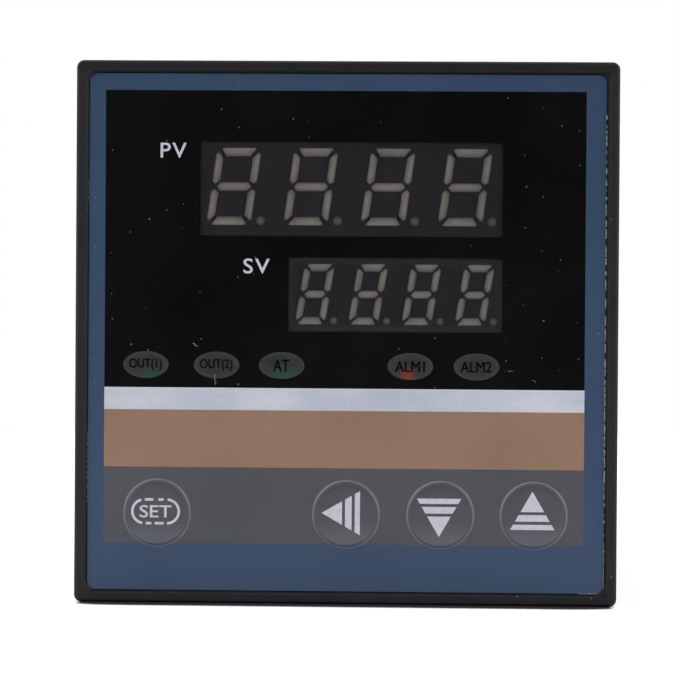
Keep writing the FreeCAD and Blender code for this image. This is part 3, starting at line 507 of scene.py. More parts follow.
def film_print():
    """The printed colours by place: a blue ground, and inside it the bands from the top down. On the
    key domes it adds painted highlight and shade round each ring, and a paler lower half as a painted
    reflection.
    """
    finish = Finish("film_print", specular_ior_level=0.2)
    x, _, z = finish.across()
    height = finish.spread(z, keys_end * mm, field_top * mm)
    bands = finish.node("ValToRGB", {0: height})
    ramp = bands.color_ramp
    ramp.interpolation = "CONSTANT"
    span = field_top - keys_end
    inks = [(keys_end, colour(76, 77, 82)), (grey_band, colour(136, 108, 92)),
            (tan_band, colour(184, 188, 200)), (white_band, colour(2, 2, 3))]
    while len(ramp.elements) < len(inks):
        ramp.elements.new(1.0)
    for element, (edge, ink) in zip(ramp.elements, inks):
        element.position = (edge - keys_end) / span
        element.color = ink
    inside = finish.times(finish.within(x, ground_left, ground_right),
                          finish.within(z, keys_end, field_top))
    low_blue = finish.spread(z, 34 * mm, -34 * mm)
    blue = finish.mix(low_blue, (50, 68, 93), (57, 73, 98))
    ink = finish.mix(inside, blue, bands.outputs[0])
    is_white = finish.times(inside, finish.within(z, tan_band, white_band))
    streaks = finish.spread(finish.noise(7.0, 5.0, stretch=(0.6, 1.0, 1.6)), 0.36, 0.66)
    mottle = finish.mix(streaks, (167, 174, 190), (187, 188, 197))
    ink = finish.mix(is_white, ink, mottle)
    cloud = finish.cloud(11.0, 5.0, 0.94, 1.06)
    grain = finish.spread(finish.noise(0.35, 2.0), 0.25, 0.75, 0.96, 1.04)
    shade = finish.times(cloud, grain)
    ink = finish.node("VectorMath", {0: ink, "Scale": shade}, operation="SCALE").outputs[0]
    flat = finish.node("CombineXYZ", {0: x, 1: z}).outputs[0]
    dust = finish.node("TexVoronoi", {"Vector": flat, "Scale": dust_scale}, voronoi_dimensions="2D")
    chance = finish.node("SeparateColor", {0: dust.outputs["Color"]}).outputs[0]
    rare = finish.spread(chance, 0.66, 1.0, 0.0, 0.045)
    speck = finish.under(dust.outputs["Distance"], rare)
    dusty = finish.times(finish.over(z, white_band * mm), 0.24)
    ink = finish.mix(finish.times(speck, dusty), ink, (190, 190, 186))
    # Painted light on the domes: a mark below 0 paints shade, and one above 0 a pale highlight.
    mark = finish.attribute("mark")
    ink = finish.mix(finish.spread(mark, 0.0, -1.0, 0.0, 0.2), ink, black)
    ink = finish.mix(finish.spread(mark, 0.0, 1.0, 0.0, 0.27), ink, (196, 196, 202))
    # Painted reflection: the lower half of each dome turns a little paler and mauve, as the white table's
    # reflection.
    lower_dome_half = finish.spread(z, (key_row - 1.0) * mm, (key_row - 3.0) * mm)
    dome_reflection = finish.times(finish.attribute("dome"), lower_dome_half)
    finish.tint(finish.times(dome_reflection, 0.1), ink, (160, 158, 176))
    finish.feed("Roughness", finish.cloud(16.0, 4.0, 0.3, 0.38))
    finish.feed("Normal", finish.bump(finish.noise(1.1, 3.0), 0.0025))
    return finish


printed_film = film_print()
film = Piece()
lamp_ovals = [oval_outline(x, lamp_row, *lamp_oval) for x in lamp_places]
key_rings = [oval_outline(x, key_row, 2 * key_radius, 2 * key_radius, key_sides)
             for x in key_places.values()]
windows = [box_outline(*upper_window), box_outline(*lower_window)]
ground = rounded_outline(0, 0, 2 * film_half, 2 * film_half, film_corner)
film.add(*cut_sheet([ground, *windows, *lamp_ovals, *key_rings], film_front, film_back))
sheet = film.make("film_sheet", "chassis", "printed_film", printed_film)
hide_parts("keypad_film")


def smoked_window(tint, cover):
    """Clear film with a thin tint: what lies behind shows through, dimmed."""
    finish = Finish("window_tint", base_color=tint, specular_ior_level=0.22)
    finish.feed("Alpha", finish.cloud(5.0, 4.0, cover - 0.02, cover + 0.02))
    finish.feed("Roughness", finish.cloud(3.0, 2.0, 0.24, 0.32))
    return finish


window_tint = smoked_window((22, 22, 24), 0.27)
for name, edges in (("upper_window", upper_window), ("lower_window", lower_window)):
    pane = Piece()
    pane.add(*cut_sheet([box_outline(*edges)], film_front, film_back))
    pane.make(name, "chassis", "printed_film", window_tint)


def milky_ovals():
    """Milky smoked film, all but opaque: paler towards each oval's rim, where the mark is 1."""
    finish = Finish("oval_tint", specular_ior_level=0.22)
    rim = finish.attribute("mark")
    cloud = finish.cloud(1.5, 3.0, -0.15, 0.15)
    finish.tint(finish.plus(rim, cloud), (41, 42, 43), (54, 55, 57))
    finish.feed("Roughness", finish.cloud(3.0, 2.0, 0.34, 0.42))
    return finish


oval_tint = milky_ovals()
lamp_glows = [((-25.75, -5.75), (1.6, 1.15), (37, 65, 52)), ((-8.3, -5.85), (2.5, 1.7), (37, 67, 53)),
              ((8.15, -5.65), (1.15, 1.2), (116, 47, 39))]


def add_glow(finish, spot, reach, tint):
    """Lets a lamp's lens tint the milky oval in front of it: strongest at the spot, then fading."""
    x, _, z = finish.across()
    across = finish.sum("DIVIDE", finish.minus(x, spot[0] * mm), reach[0] * mm)
    up = finish.sum("DIVIDE", finish.minus(z, spot[1] * mm), reach[1] * mm)
    far = finish.sum("POWER", finish.plus(finish.times(across, across), finish.times(up, up)), 0.5)
    finish.tint(finish.spread(far, 1.15, 0.15), finish.tinted(), tint)


for glow in lamp_glows:
    add_glow(oval_tint, *glow)
ovals = Piece()
shares = np.array([0.0, 0.3, 0.55, 0.75, 0.9, 1.0])
for x, outline in zip(lamp_places, lamp_ovals):
    centre = np.array((x, lamp_row))
    face = centre + shares[:, None, None] * (outline - centre)
    rings = [at_depth(face, film_front), at_depth(face[::-1], film_back)]
    marks = np.repeat(np.concatenate([shares, shares[::-1]]) ** 3, len(outline))
    ovals.grid(np.concatenate(rings), round_columns=True, mark=marks)
ovals.make("lamp_windows", "chassis", "printed_film", oval_tint)


# ------------------------------------------------------------------ key domes and their signs
# Each key is a shallow dome pressed up in the same film, with a steep shoulder. On the shoulder a pale ring
# is a painted highlight, brightest at upper left and at right, with painted shade inside it above the sign.
# Its sign is printed in pale ink.

dome_rise = 0.36
dome_shoulder = 0.55
dome_crown = 0.25
dome_wall, dome_skin = 0.7, 0.05


def dome_height(radius):
    """Rise at a radius: a parabola over the top, times a half cosine down the shoulder."""
    share = np.clip((radius - key_radius + dome_shoulder) / dome_shoulder, 0, 1)
    return dome_rise * (1 - dome_crown * (radius / key_radius) ** 2) * (1 + np.cos(np.pi * share)) / 2


def gives_way(piece):
    """Gives the piece its own copy of its mesh."""
    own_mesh(piece)


def lift_on_dome(points, x, proud):
    """Moves flat (x, z) points of a sign up onto the dome about x, so far proud of it."""
    radius = np.hypot(points[..., 0] - x, points[..., 1] - key_row)
    return at_depth(points, film_front - dome_height(radius) - proud)


def between(first, last, steps):
    """Points (rows, steps, 2) on straight lines from each first to each last point."""
    share = np.linspace(0, 1, steps)[None, :, None]
    first, last = np.asarray(first, float)[:, None], np.asarray(last, float)[:, None]
    return first * (1 - share) + last * share


def arrow_bars(tip, length, spread):
    """The arrow's triangle and its two bars as grids of flat points, tip up at (0, tip)."""
    cuts = ((0.0, 2.72), (3.11, 3.99), (4.4, length))
    grids = []
    for start, stop in cuts:
        depth = np.linspace(start, stop, 7)
        half = depth * spread
        left, right = np.column_stack([-half, tip - depth]), np.column_stack([half, tip - depth])
        grids.append(between(left, right, 9))
    return grids


def stroke(path, width):
    """A flat ribbon: each point of the path moved half the width to either side of its direction."""
    ahead = np.gradient(path, axis=0)
    ahead /= np.linalg.norm(ahead, axis=1, keepdims=True)
    side = np.column_stack([-ahead[:, 1], ahead[:, 0]]) * width / 2
    return np.stack([path - side, path + side], 1)


def arc(centre, radius, first, last, steps=20):
    """Points round a centre from one angle in degrees to another."""
    turn = np.radians(np.linspace(first, last, steps))
    return np.column_stack([centre[0] + radius * np.cos(turn), centre[1] + radius * np.sin(turn)])


def set_frame():
    """A broken oval frame: two end arcs and two dashes on each long side."""
    reach, radius, width = 1.52, 1.575, 0.33
    ends = [arc((-reach, 0), radius, 104, 261), arc((reach, 0), radius, 87, -90)]
    dashes = [(radius, -1.43, -0.31), (radius, 0.36, 1.08), (-radius, -1.28, -0.55), (-radius, -0.1, 1.08)]
    sides = [np.column_stack([np.linspace(a, b, 6), np.full(6, z)]) for z, a, b in dashes]
    return [stroke(path, width) for path in ends + sides]


def lettering(words, height, width, weight=0.0, spacing=1.0):
    """Flat plain lettering of that cap height and width, centred on (0, 0), as points and triangles."""
    curve = bpy.data.curves.new("words", "FONT")
    curve.body = words
    curve.size = 10.0
    curve.offset = weight * 10.0
    curve.space_character = spacing
    curve.resolution_u = 4
    points, triangles = filled(curve)
    flat = points[:, :2]
    low, high = flat.min(0), flat.max(0)
    return (flat - (low + high) / 2) * (width, height) / (high - low), triangles


def toned(name, dark, light, size, detail=3.0, rough=None, **sockets):
    """A surface that drifts from a dark to a light tone over lumps of that size in millimetres, and
    whose roughness follows the tone from rough's low value to its high one."""
    finish = Finish(name, **sockets)
    tone = finish.cloud(size, detail)
    finish.tint(tone, dark, light)
    if rough:
        finish.feed("Roughness", finish.spread(tone, 0.0, 1.0, *rough))
    return finish


pale_print = toned("pale_ink", (176, 177, 190), (192, 192, 203), 0.8, 4.0, specular_ior_level=0.42)
pale_print.feed("Roughness", pale_print.cloud(2.0, 2.0, 0.3, 0.4))
print_shift = np.array((-0.17, 0.12))
arrow_tip, arrow_length, arrow_spread = 3.07, 5.09, 0.577
arrow_turns = {"shift": 90, "down": 180, "up": 0}
# A painted highlight ring and painted shade inside it. The ring is brightest towards the lamps, at these
# angles in degrees.
ring_radius, ring_width, ring_drop = 4.38, 0.1, 0.18
shade_radius, shade_width = 3.75, 0.4
main_light, side_light, side_share = 140, 15, 0.8
ink_proud = 0.012
for key, x in key_places.items():
    dome = Piece()
    radii = np.concatenate([np.linspace(0, key_radius - dome_shoulder, 14),
                            np.linspace(key_radius - dome_shoulder, key_radius, 19)[1:]])
    outside = np.column_stack([radii, film_front - dome_height(radii)])
    inner = key_radius - dome_wall
    under_top = film_back - dome_rise + dome_skin
    inside = [(key_radius, film_back), (inner, film_back), (inner, under_top), (0, under_top)]
    profile = np.concatenate([outside, inside])
    way = np.arange(key_sides) * 2 * math.pi / key_sides
    outer_skin = (profile[:, 1] < film_front)[:, None]
    reach = ring_radius + ring_drop * np.sin(-way).clip(0)

    def band(middle, width):
        """1 along a circle of that radius on the outer skin, falling off like a bell over width."""
        return np.exp(-((profile[:, :1] - middle) / width) ** 2) * outer_skin

    # Painted shade inside the ring above the sign, and a painted highlight on the ring, strongest where the
    # lamps' light would catch it.
    shade = band(shade_radius, shade_width) * np.sin(way).clip(0)
    lights = np.maximum(np.cos(way - math.radians(main_light)),
                        side_share * np.cos(way - math.radians(side_light)))
    marks = band(reach, ring_width) * (0.25 + 0.75 * lights.clip(0)) - shade
    dome.grid(turned(profile, (x, 0, key_row), "y", key_sides), round_columns=True, mark=marks.ravel())
    dome_piece = dome.make(key + "_key_dome", "chassis", "printed_film", printed_film, crease=50)
    whole = dome_piece.data.attributes.new("dome", "FLOAT", "POINT")
    whole.data.foreach_set("value", np.ones(len(dome_piece.data.vertices), np.float32))
    gives_way(dome_piece)
    sign = Piece()
    centre = np.array((x, key_row)) + print_shift
    if key == "set":
        flat, triangles = lettering("SET", 1.66, 4.25, 0.008)
        sign.add(lift_on_dome(flat + centre, x, ink_proud), triangles)
        for ribbon in set_frame():
            sign.grid(lift_on_dome(ribbon + centre, x, ink_proud))
    else:
        turn = math.radians(arrow_turns[key])
        about = np.array([[math.cos(turn), math.sin(turn)], [-math.sin(turn), math.cos(turn)]])
        for bar in arrow_bars(arrow_tip, arrow_length, arrow_spread):
            sign.grid(lift_on_dome(bar @ about + centre, x, ink_proud))
    sign_piece = sign.make(key + "_key_sign", "chassis", "printed_film", pale_print)
    gives_way(sign_piece)


# ------------------------------------------------------------------ legends
# Plain function letters: pale beside the displays, black on the lamp ovals. The lower right of
# the film is bare.


def add_words(piece, words, x, z, height, width, weight=0.0, spacing=1.0):
    flat, triangles = lettering(words, height, width, weight, spacing)
    piece.add(at_depth(flat + (x, z), film_front - ink_proud), triangles)


display_words = Piece()
add_words(display_words, "PV", -23.09, 24.09, 2.0, 3.48, 0.009, 1.16)
add_words(display_words, "SV", -11.96, 8.8, 2.0, 3.5, 0.009, 1.16)
display_words.make("display_legends", "chassis", "printed_film", pale_print)

black_ink = toned("black_ink", (4, 4, 5), (11, 11, 12), 0.5, 4.0, specular_ior_level=0.12, roughness=0.5)
lamp_words = Piece()
strike_apart = 0.045
lamp_names = (("OUT(1)", 4.3, 1.62), ("OUT(2)", 4.3, 1.62), ("AT", 2.1, 1.6), ("ALM1", 3.9, 1.4),
              ("ALM2", 4.1, 1.4))
for (words, width, height), x in zip(lamp_names, lamp_places):
    for struck in (-strike_apart, strike_apart):
        add_words(lamp_words, words, x - 0.05 + struck, lamp_row - 0.02, height, width)
lamp_words.make("lamp_legends", "chassis", "printed_film", black_ink)


# ------------------------------------------------------------------ displays
# Two four-digit modules: a black moulded housing, and light pipes filled with milky resin that
# show as tan-grey bars and points while they are unlit. They sit close behind the film.

upper_display = dict(x=0.68, z=19.36, pitch=10.24, digit_width=5.93, digit_height=10.26, stroke=1.12,
                     slant=8.0, point_radius=0.6, end_gap=0.19)
lower_display = dict(x=6.71, z=5.12, pitch=7.07, digit_width=4.02, digit_height=8.06, stroke=1.0,
                     slant=9.5, point_radius=0.5, end_gap=0.0)
point_room = 0.65
point_sides = 24
bar_depth = 1.6


def digit_bars(spec):
    """The seven bars of an upright digit with their mitred ends. Each is a stack of rows (left x,
    right x, z), or for an upright bar of columns (low z, high z, x), from one long side across."""
    w, h, t = spec["digit_width"] / 2, spec["digit_height"] / 2, spec["stroke"]
    reach = w - spec["end_gap"]
    ends = [(reach - 1.05 * t, h - t), (reach - 0.4 * t, h - 0.16 * t), (reach - 0.6 * t, h)]
    middle = [(w - t, -t / 2), (w - 0.61 * t, 0.0), (w - t, t / 2)]
    columns = [(0.75 * t, h - 1.2 * t, w - 0.92 * t), (0.3 * t, h - 0.74 * t, w - 0.42 * t),
               (0.43 * t, h - 0.57 * t, w - 0.24 * t), (0.6 * t, h - 0.8 * t, w)]
    bars = [np.array([((-x, up * z), (x, up * z)) for x, z in ends]) for up in (-1, 1)]
    bars.append(np.array([((-x, z), (x, z)) for x, z in middle]))
    bars += [np.array([((side * x, up * a), (side * x, up * b)) for a, b, x in columns])
             for side in (-1, 1) for up in (-1, 1)]
    return bars


def bar_face(lines, long_steps=15, cross_steps=9):
    """Flat grid between a bar's long sides: straight lines from end to end, evenly spread across."""
    share = np.linspace(0, len(lines) - 1, cross_steps)
    ends = np.stack([np.stack([np.interp(share, range(len(lines)), lines[:, end, axis])
                               for axis in (0, 1)], -1) for end in (0, 1)], 1)
    return between(ends[:, 0], ends[:, 1], long_steps)


def add_solid(piece, face, front, depth, crown, kind=0):
    """A closed bar: its face bellied towards the front by crown, a back, and walls round the rim.
    The mark is 0 at the rim and 1 along the middle."""
    rows, columns = face.shape[:2]
    across = np.sin(np.pi * np.linspace(0, 1, rows))[:, None]
    along = np.sin(np.pi * np.linspace(0, 1, columns))[None] ** 0.35
    belly = across ** 0.7 * along
    top, base = at_depth(face, front - crown * belly), at_depth(face, front + depth)
    piece.grid(top, kind=kind, mark=(across * along).ravel())
    piece.grid(base, kind=kind)
    for edge in (np.s_[0], np.s_[-1], np.s_[:, 0], np.s_[:, -1]):
        piece.grid(np.stack([top[edge], base[edge]]), kind=kind)


def leaned(points, spec, x):
    """An upright digit's points leaned by the slant and moved to its place."""
    lean = math.tan(math.radians(spec["slant"]))
    return np.stack([x + points[..., 0] + points[..., 1] * lean, spec["z"] + points[..., 1]], -1)


def resin():
    """Milky resin: paler where it is thickest, a little darker and browner against the walls."""
    finish = Finish("display_resin", specular_ior_level=0.3)
    middle = finish.attribute("mark")
    cloud = finish.cloud(0.9, 4.0, -0.16, 0.16)
    depth = finish.plus(finish.spread(middle, 0.0, 0.9), cloud)
    finish.tint(depth, (130, 119, 114), (187, 181, 175))
    finish.feed("Roughness", finish.cloud(0.5, 2.0, 0.38, 0.5))
    return finish


def clear_point():
    """The decimal point's smaller pipe, dimmer than the bars and paler in its middle."""
    finish = Finish("display_point", specular_ior_level=0.35, roughness=0.35)
    middle = finish.attribute("mark")
    cloud = finish.cloud(0.3, 3.0, -0.2, 0.2)
    depth = finish.plus(middle, cloud)
    finish.tint(depth, (92, 93, 96), (140, 141, 144))
    return finish


def add_point(piece, x, z, radius, front):
    """A round pipe end: a shallow cap with its mark falling from 1 in the middle to 0 at the rim."""
    reach = np.array([0, 0.35, 0.65, 0.9, 1.0, 1.0, 0.0])
    height = np.array([-0.03, -0.026, -0.017, -0.005, 0.0, bar_depth, bar_depth])
    profile = np.column_stack([reach * radius, front + height])
    mark = np.repeat(np.array([1, 0.7, 0.35, 0.1, 0, 0, 0]), point_sides)
    piece.grid(turned(profile, (x, 0, z), "y", point_sides), round_columns=True, kind=1, mark=mark)


display_resin, display_point = resin(), clear_point()
for name, spec in (("upper", upper_display), ("lower", lower_display)):
    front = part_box(name + "_display_shell")[0].y / mm
    bars = Piece()
    for digit in range(4):
        x = spec["x"] + (digit - 1.5) * spec["pitch"] - point_room * spec["point_radius"]
        for lines in digit_bars(spec):
            add_solid(bars, leaned(bar_face(lines), spec, x), front - 0.01, bar_depth, 0.02)
        point_z = spec["z"] - spec["digit_height"] / 2 + spec["point_radius"]
        point_x = x + spec["digit_width"] / 2 + spec["point_radius"]
        add_point(bars, point_x, point_z, spec["point_radius"], front)
    shown = bars.make(name + "_display_bars", "chassis", "display_diffuser", display_resin, display_point)
    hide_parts(name + "_display_segments")


def display_housing(node, edge_paleness):
    """Black housing that turns paler along the edges of its face, by the given share."""
    finish = moulding(node + "_black", (54, 53, 56), 0.42, 0.12, 0.004, dust=0.2)
    low, high = (np.array(corner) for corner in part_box(node))
    place = finish.across()
    edge = 0.0
    for axis in (0, 2):
        middle, half = (low[axis] + high[axis]) / 2, (high[axis] - low[axis]) / 2
        out = finish.absolute(finish.minus(place[axis], middle))
        edge = finish.most(edge, finish.spread(out, half - 1.3 * mm, half - 0.2 * mm))
    patchy = finish.times(edge, finish.cloud(2.5, 3.0, 0.5 * edge_paleness, edge_paleness))
    finish.tint(patchy, finish.tinted(), (104, 104, 110))
    return finish


for shell, edge_paleness in (("upper_display_shell", 0.12), ("lower_display_shell", 0.5)):
    paint(display_housing(shell, edge_paleness), shell)


# ------------------------------------------------------------------ indicator lamps
# Flat-topped epoxy lamps, one green for an output, one green for tuning, one red for the alarms.
# Their two tinned steel leads stand on the display board behind them.

lead_start = -2.2


def tinned(finish, share, body):
    """Turns the surface into dull tinned metal where share is 1, and leaves body's colour elsewhere."""
    streaks = finish.cloud(0.6, 4.0)
    tin = finish.mix(streaks, (150, 148, 143), (198, 197, 192))
    finish.tint(share, body, tin)
    finish.feed("Metallic", share)


def lamp_epoxy(name, deep, clear):
    """Tinted epoxy with a cloudy core, and tinned leads behind it."""
    finish = Finish(name, specular_ior_level=0.5)
    place = finish.across()
    is_lead = finish.over(place[1], lead_start * mm)
    swirl = finish.cloud(0.9, 3.0)
    tinned(finish, is_lead, finish.mix(swirl, deep, clear))
    finish.feed("Roughness", finish.cloud(0.7, 2.0, 0.16, 0.3))
    return finish


paint(lamp_epoxy("green_lamp", (40, 122, 78), (84, 168, 118)), "output_lamp", "tuning_lamp")
paint(lamp_epoxy("red_lamp", (150, 34, 30), (200, 66, 56)), "alarm_lamp")


# ------------------------------------------------------------------ circuit boards
# Three glass-fibre boards, green with solder resist over copper tracks. Their edges show the
# straw-coloured core, and the side boards end in rows of bare pads at the back.

pad_rows_from = 72.6
pad_pitch = 8.2
pad_half = 2.1
lead_pitch = 2.54


def board_finish(name, across_axis, seed, pads=False):
    """Solder resist over tracks: the mortar of two brick patterns, with plated holes scattered on it.
    The cut edges, whose normal isn't along across_axis, are bare fibre."""
    finish = Finish(name, specular_ior_level=0.5)
    place = finish.across()
    flat_axes = [axis for axis in range(3) if axis != across_axis]
    flat = finish.node("CombineXYZ", {0: place[flat_axes[0]], 1: place[flat_axes[1]]}).outputs[0]

    def tracks(width, height, line, turn):
        spot = finish.node("Mapping", {"Vector": flat, "Location": (seed * mm, seed * 1.7 * mm, 0),
                                       "Rotation": (0, 0, turn)}).outputs[0]
        bricks = finish.node("TexBrick", {"Vector": spot, "Scale": 1 / mm, "Mortar Size": line,
                                          "Mortar Smooth": 0.3, "Brick Width": width, "Row Height": height},
                             offset=0.37, squash=0.55, squash_frequency=3)
        return bricks.outputs["Fac"]

    copper = finish.most(tracks(11.0, lead_pitch, 0.17, 0.0), tracks(17.0, 2 * lead_pitch, 0.3, math.pi / 2))
    patch = finish.over(finish.noise(15.0, 0.0, flat), 0.6)
    copper = finish.most(copper, finish.times(patch, 0.55))
    cloud = finish.cloud(6.0, 4.0)
    resist = finish.mix(cloud, (22, 74, 44), (30, 88, 54))
    green = finish.mix(copper, resist, (48, 112, 66))
    holes = finish.node("TexVoronoi", {"Vector": flat, "Scale": 1 / (3.4 * mm), "Randomness": 0.85},
                        voronoi_dimensions="2D").outputs["Distance"]
    kept = finish.over(finish.noise(4.5, 0.0, flat), 0.53)
    ring = finish.times(finish.under(holes, 0.13), kept)
    # Painted shade: the holes are not cut, and each one's middle is painted near-black as the shade down its
    # bore.
    bore_shade = finish.times(finish.under(holes, 0.06), kept)
    metal = finish.minus(ring, bore_shade)
    if pads:
        shifted = finish.plus(place[2], (10 * pad_pitch + pad_pitch / 2) * mm)
        along = finish.sum("MODULO", shifted, pad_pitch * mm)
        cell = finish.absolute(finish.minus(along, pad_pitch / 2 * mm))
        behind = finish.over(place[1], pad_rows_from * mm)
        is_pad = finish.times(finish.under(cell, pad_half * mm), behind)
        metal = finish.most(metal, is_pad)
    tin = finish.mix(finish.cloud(1.1, 3.0), (186, 180, 162), (214, 208, 190))
    top = finish.mix(metal, finish.mix(bore_shade, green, (20, 24, 20)), tin)
    weave = finish.cloud(0.4, 2.0, stretch=(1.0, 1.0, 0.3))
    core = finish.mix(weave, (160, 146, 96), (188, 174, 122))
    normal = finish.node("NewGeometry").outputs["Normal"]
    normal = finish.node("SeparateXYZ", {0: normal}).outputs[across_axis]
    is_edge = finish.under(finish.absolute(normal), 0.5)
    is_face_metal = finish.times(metal, finish.minus(1.0, is_edge))
    finish.tint(is_edge, top, core)
    finish.feed("Metallic", is_face_metal)
    finish.feed("Roughness", finish.cloud(3.0, 3.0, 0.3, 0.42))
    finish.feed("Normal", finish.bump(finish.plus(copper, ring), 0.035))
    return finish


boards = (("display_board", 1, 2.0), ("power_board", 0, 5.0), ("signal_board", 0, 9.0))
for board, across_axis, seed in boards:
    paint(board_finish(board, across_axis, seed, pads=across_axis == 0), board)


# ------------------------------------------------------------------ solder joints
# Every lead comes through its board and ends in a small bright cone of solder on the outer face.

board_outer = 25.8
joint_radius, joint_height = 0.85, 0.8
chip_row, row_centre = 3.65, 14.5


def two_rows(middle_y, leads, sign):
    """Places (y, z) of a two-row chip's leads, either side of its row's centre line."""
    y = middle_y + (np.arange(leads // 2) - (leads // 2 - 1) / 2) * lead_pitch
    return [(a, sign * row_centre + side * chip_row) for a in y for side in (-1, 1)]


power_leads = (two_rows(48.44, 4, 1) + two_rows(10.78, 8, -1) + two_rows(40.0, 4, -1)
               + [(7.9, 14.5), (12.5, 14.5), (17.7, 12.0), (17.7, 17.0), (39.6, 12.0), (39.6, 17.0)]
               + [(24.6, 9.3), (29.4, 9.3), (24.6, 19.7), (29.4, 19.7)]
               + [(y, z) for y in (18.6, 26.7, 34.8) for z in (-21.2, -7.8)]
               + [(47.0, -15.75), (47.0, -13.25), (54.9, -15.75), (54.9, -13.25)])
signal_leads = (two_rows(10.78, 8, 1) + two_rows(10.78, 8, -1) + two_rows(21.94, 8, -1)
                + two_rows(51.16, 4, -1)
                + [(y + a, 14.5 + b) for y in (20.56, 28.96) for a, b in ((-2.5, 0), (0, 2.5), (2.5, 0))]
                + [(y + a, z + b) for y, z in ((43.46, 14.5), (37.82, -14.5))
                   for a, b in ((-7.5, -6), (-7.5, 6), (-5, 0), (7.0, -6), (7.0, 6))]
                + [(55.6, 14.5), (60.7, 14.5)])
header_leads = [(1.9, 2.0 + (i - 4.5) * lead_pitch) for i in range(10)]


solder_skin = toned("solder", (168, 168, 166), (208, 207, 203), 0.5, rough=(0.24, 0.42), metallic=1.0)
cone = np.array([(1.0, 0.0), (0.92, 0.06), (0.62, 0.3), (0.42, 0.66), (0.33, 0.9), (0.2, 1.0), (0.0, 1.02)])
for name, side, leads in (("power", -1, power_leads), ("signal", 1, signal_leads)):
    joints = Piece()
    profile = np.column_stack([cone[:, 0] * joint_radius, cone[:, 1] * side * joint_height])
    profile = np.concatenate([[(0.0, -0.05 * side), (joint_radius, -0.05 * side)], profile])
    for y, z in leads + header_leads:
        joints.grid(turned(profile, (side * board_outer, y, z), "x", 14), round_columns=True)
    joints.make(name + "_solder_joints", "chassis", "plated_steel", solder_skin)


# ------------------------------------------------------------------ switches and key stems
# Four small push switches stand on the display board: a black moulded base under a folded steel
# cover. A black moulded stem in each one carries the press of its key.


def sheet_metal(name, dark, light, roughness, stretch=(1.0, 1.0, 0.1)):
    """Rolled metal: long fine scratches, drawn out by stretch, over a slow change of tone."""
    finish = Finish(name, metallic=1.0)
    lines = finish.cloud(0.2, 3.0, stretch=stretch)
    tone = finish.times(finish.plus(lines, finish.cloud(2.5, 3.0)), 0.5)
    finish.tint(tone, dark, light)
    finish.feed("Roughness", finish.spread(lines, 0.0, 1.0, roughness - 0.06, roughness + 0.1))
    finish.relief(lines, 0.004, 0.08)
    return finish


component_black = moulding("component_black", (28, 28, 30), 0.48, 0.12, 0.006, dust=0.2)
plated_steel = sheet_metal("plated_steel", (150, 151, 153), (196, 197, 198), 0.3)
paint(component_black, "switch_bases", *(key + "_key_stem" for key in key_places))
paint(plated_steel, "switch_covers")


# ------------------------------------------------------------------ chips and crystal
# Black epoxy packages with tinned leads bent down to the board: the controller's own chip on the
# display board beside its quartz can, and two-row chips on both side boards.

flat_chip_place = (-6.0, 12.0)
flat_chip_half = 4.52
row_chip_half = 3.22


def away(finish, value, centre, limit):
    """1 where a coordinate is more than limit from centre, both in millimetres."""
    return finish.over(finish.absolute(finish.minus(value, centre * mm)), limit * mm)


def chip_epoxy(name, is_lead):
    """Matt black epoxy with a fine grain, and tinned leads where is_lead gives 1."""
    finish = Finish(name, specular_ior_level=0.35)
    grain = finish.cloud(0.1, 3.0)
    share = is_lead(finish, finish.across())
    tinned(finish, share, finish.mix(grain, (24, 24, 25), (36, 36, 38)))
    matt = finish.cloud(1.2, 2.0, 0.5, 0.62)
    finish.feed("Roughness", finish.minus(matt, finish.times(share, 0.22)))
    finish.relief(grain, 0.005, 0.08)
    return finish


def flat_chip_leads(finish, place):
    across = away(finish, place[0], flat_chip_place[0], flat_chip_half)
    return finish.most(across, away(finish, place[2], flat_chip_place[1], flat_chip_half))


def row_chip_leads(finish, place):
    return away(finish, finish.absolute(place[2]), row_centre, row_chip_half)


paint(chip_epoxy("flat_chip", flat_chip_leads), "microcontroller")
paint(chip_epoxy("row_chip", row_chip_leads), "supply_chip", "supply_optocoupler", "bridge_rectifier",
      "input_amplifier", "memory_chip", "relay_driver_chip", "output_optocoupler")
paint(sheet_metal("nickel_can", (176, 174, 168), (214, 212, 206), 0.22, (1.0, 1.0, 0.2)), "clock_crystal")


# ------------------------------------------------------------------ headers, fuse and varistor
# Nylon strips hold the pins that join the side boards to the display board. At the mains side
# stand a moulded fuse and a varistor, a disc dipped in hard epoxy.

paint(component_black, "power_board_header", "signal_board_header")
paint(moulding("fuse_body", (52, 44, 40), 0.42, 0.3, 0.004, dust=0.2), "fuse")


def varistor_coating():
    """Dipped epoxy, a little lumpy, over tinned leads next to the board."""
    finish = Finish("varistor_coating", specular_ior_level=0.5)
    place = finish.across()
    lumps = finish.cloud(1.6, 3.0)
    dip = finish.mix(lumps, (30, 74, 122), (44, 96, 148))
    tinned(finish, finish.under(place[0], -23.05 * mm), dip)
    finish.feed("Roughness", finish.spread(lumps, 0.0, 1.0, 0.26, 0.4))
    finish.relief(lumps, 0.08, 0.35)
    return finish


paint(varistor_coating(), "varistor")


# ------------------------------------------------------------------ mains choke
# Two coils of enamelled copper wire on black spools, one round each long leg of a ferrite frame.

choke_place = (-20.4, 14.5)
choke_coil_apart = 4.2
coil_outer, coil_hole = (7.6, 5.3), (3.7, 2.9)
coil_from, coil_to, spool_flange = 24.0, 30.0, 0.35
drum_inset, drum_corner = 1.0, 0.9
wire_radius, wire_turns = 0.265, 10


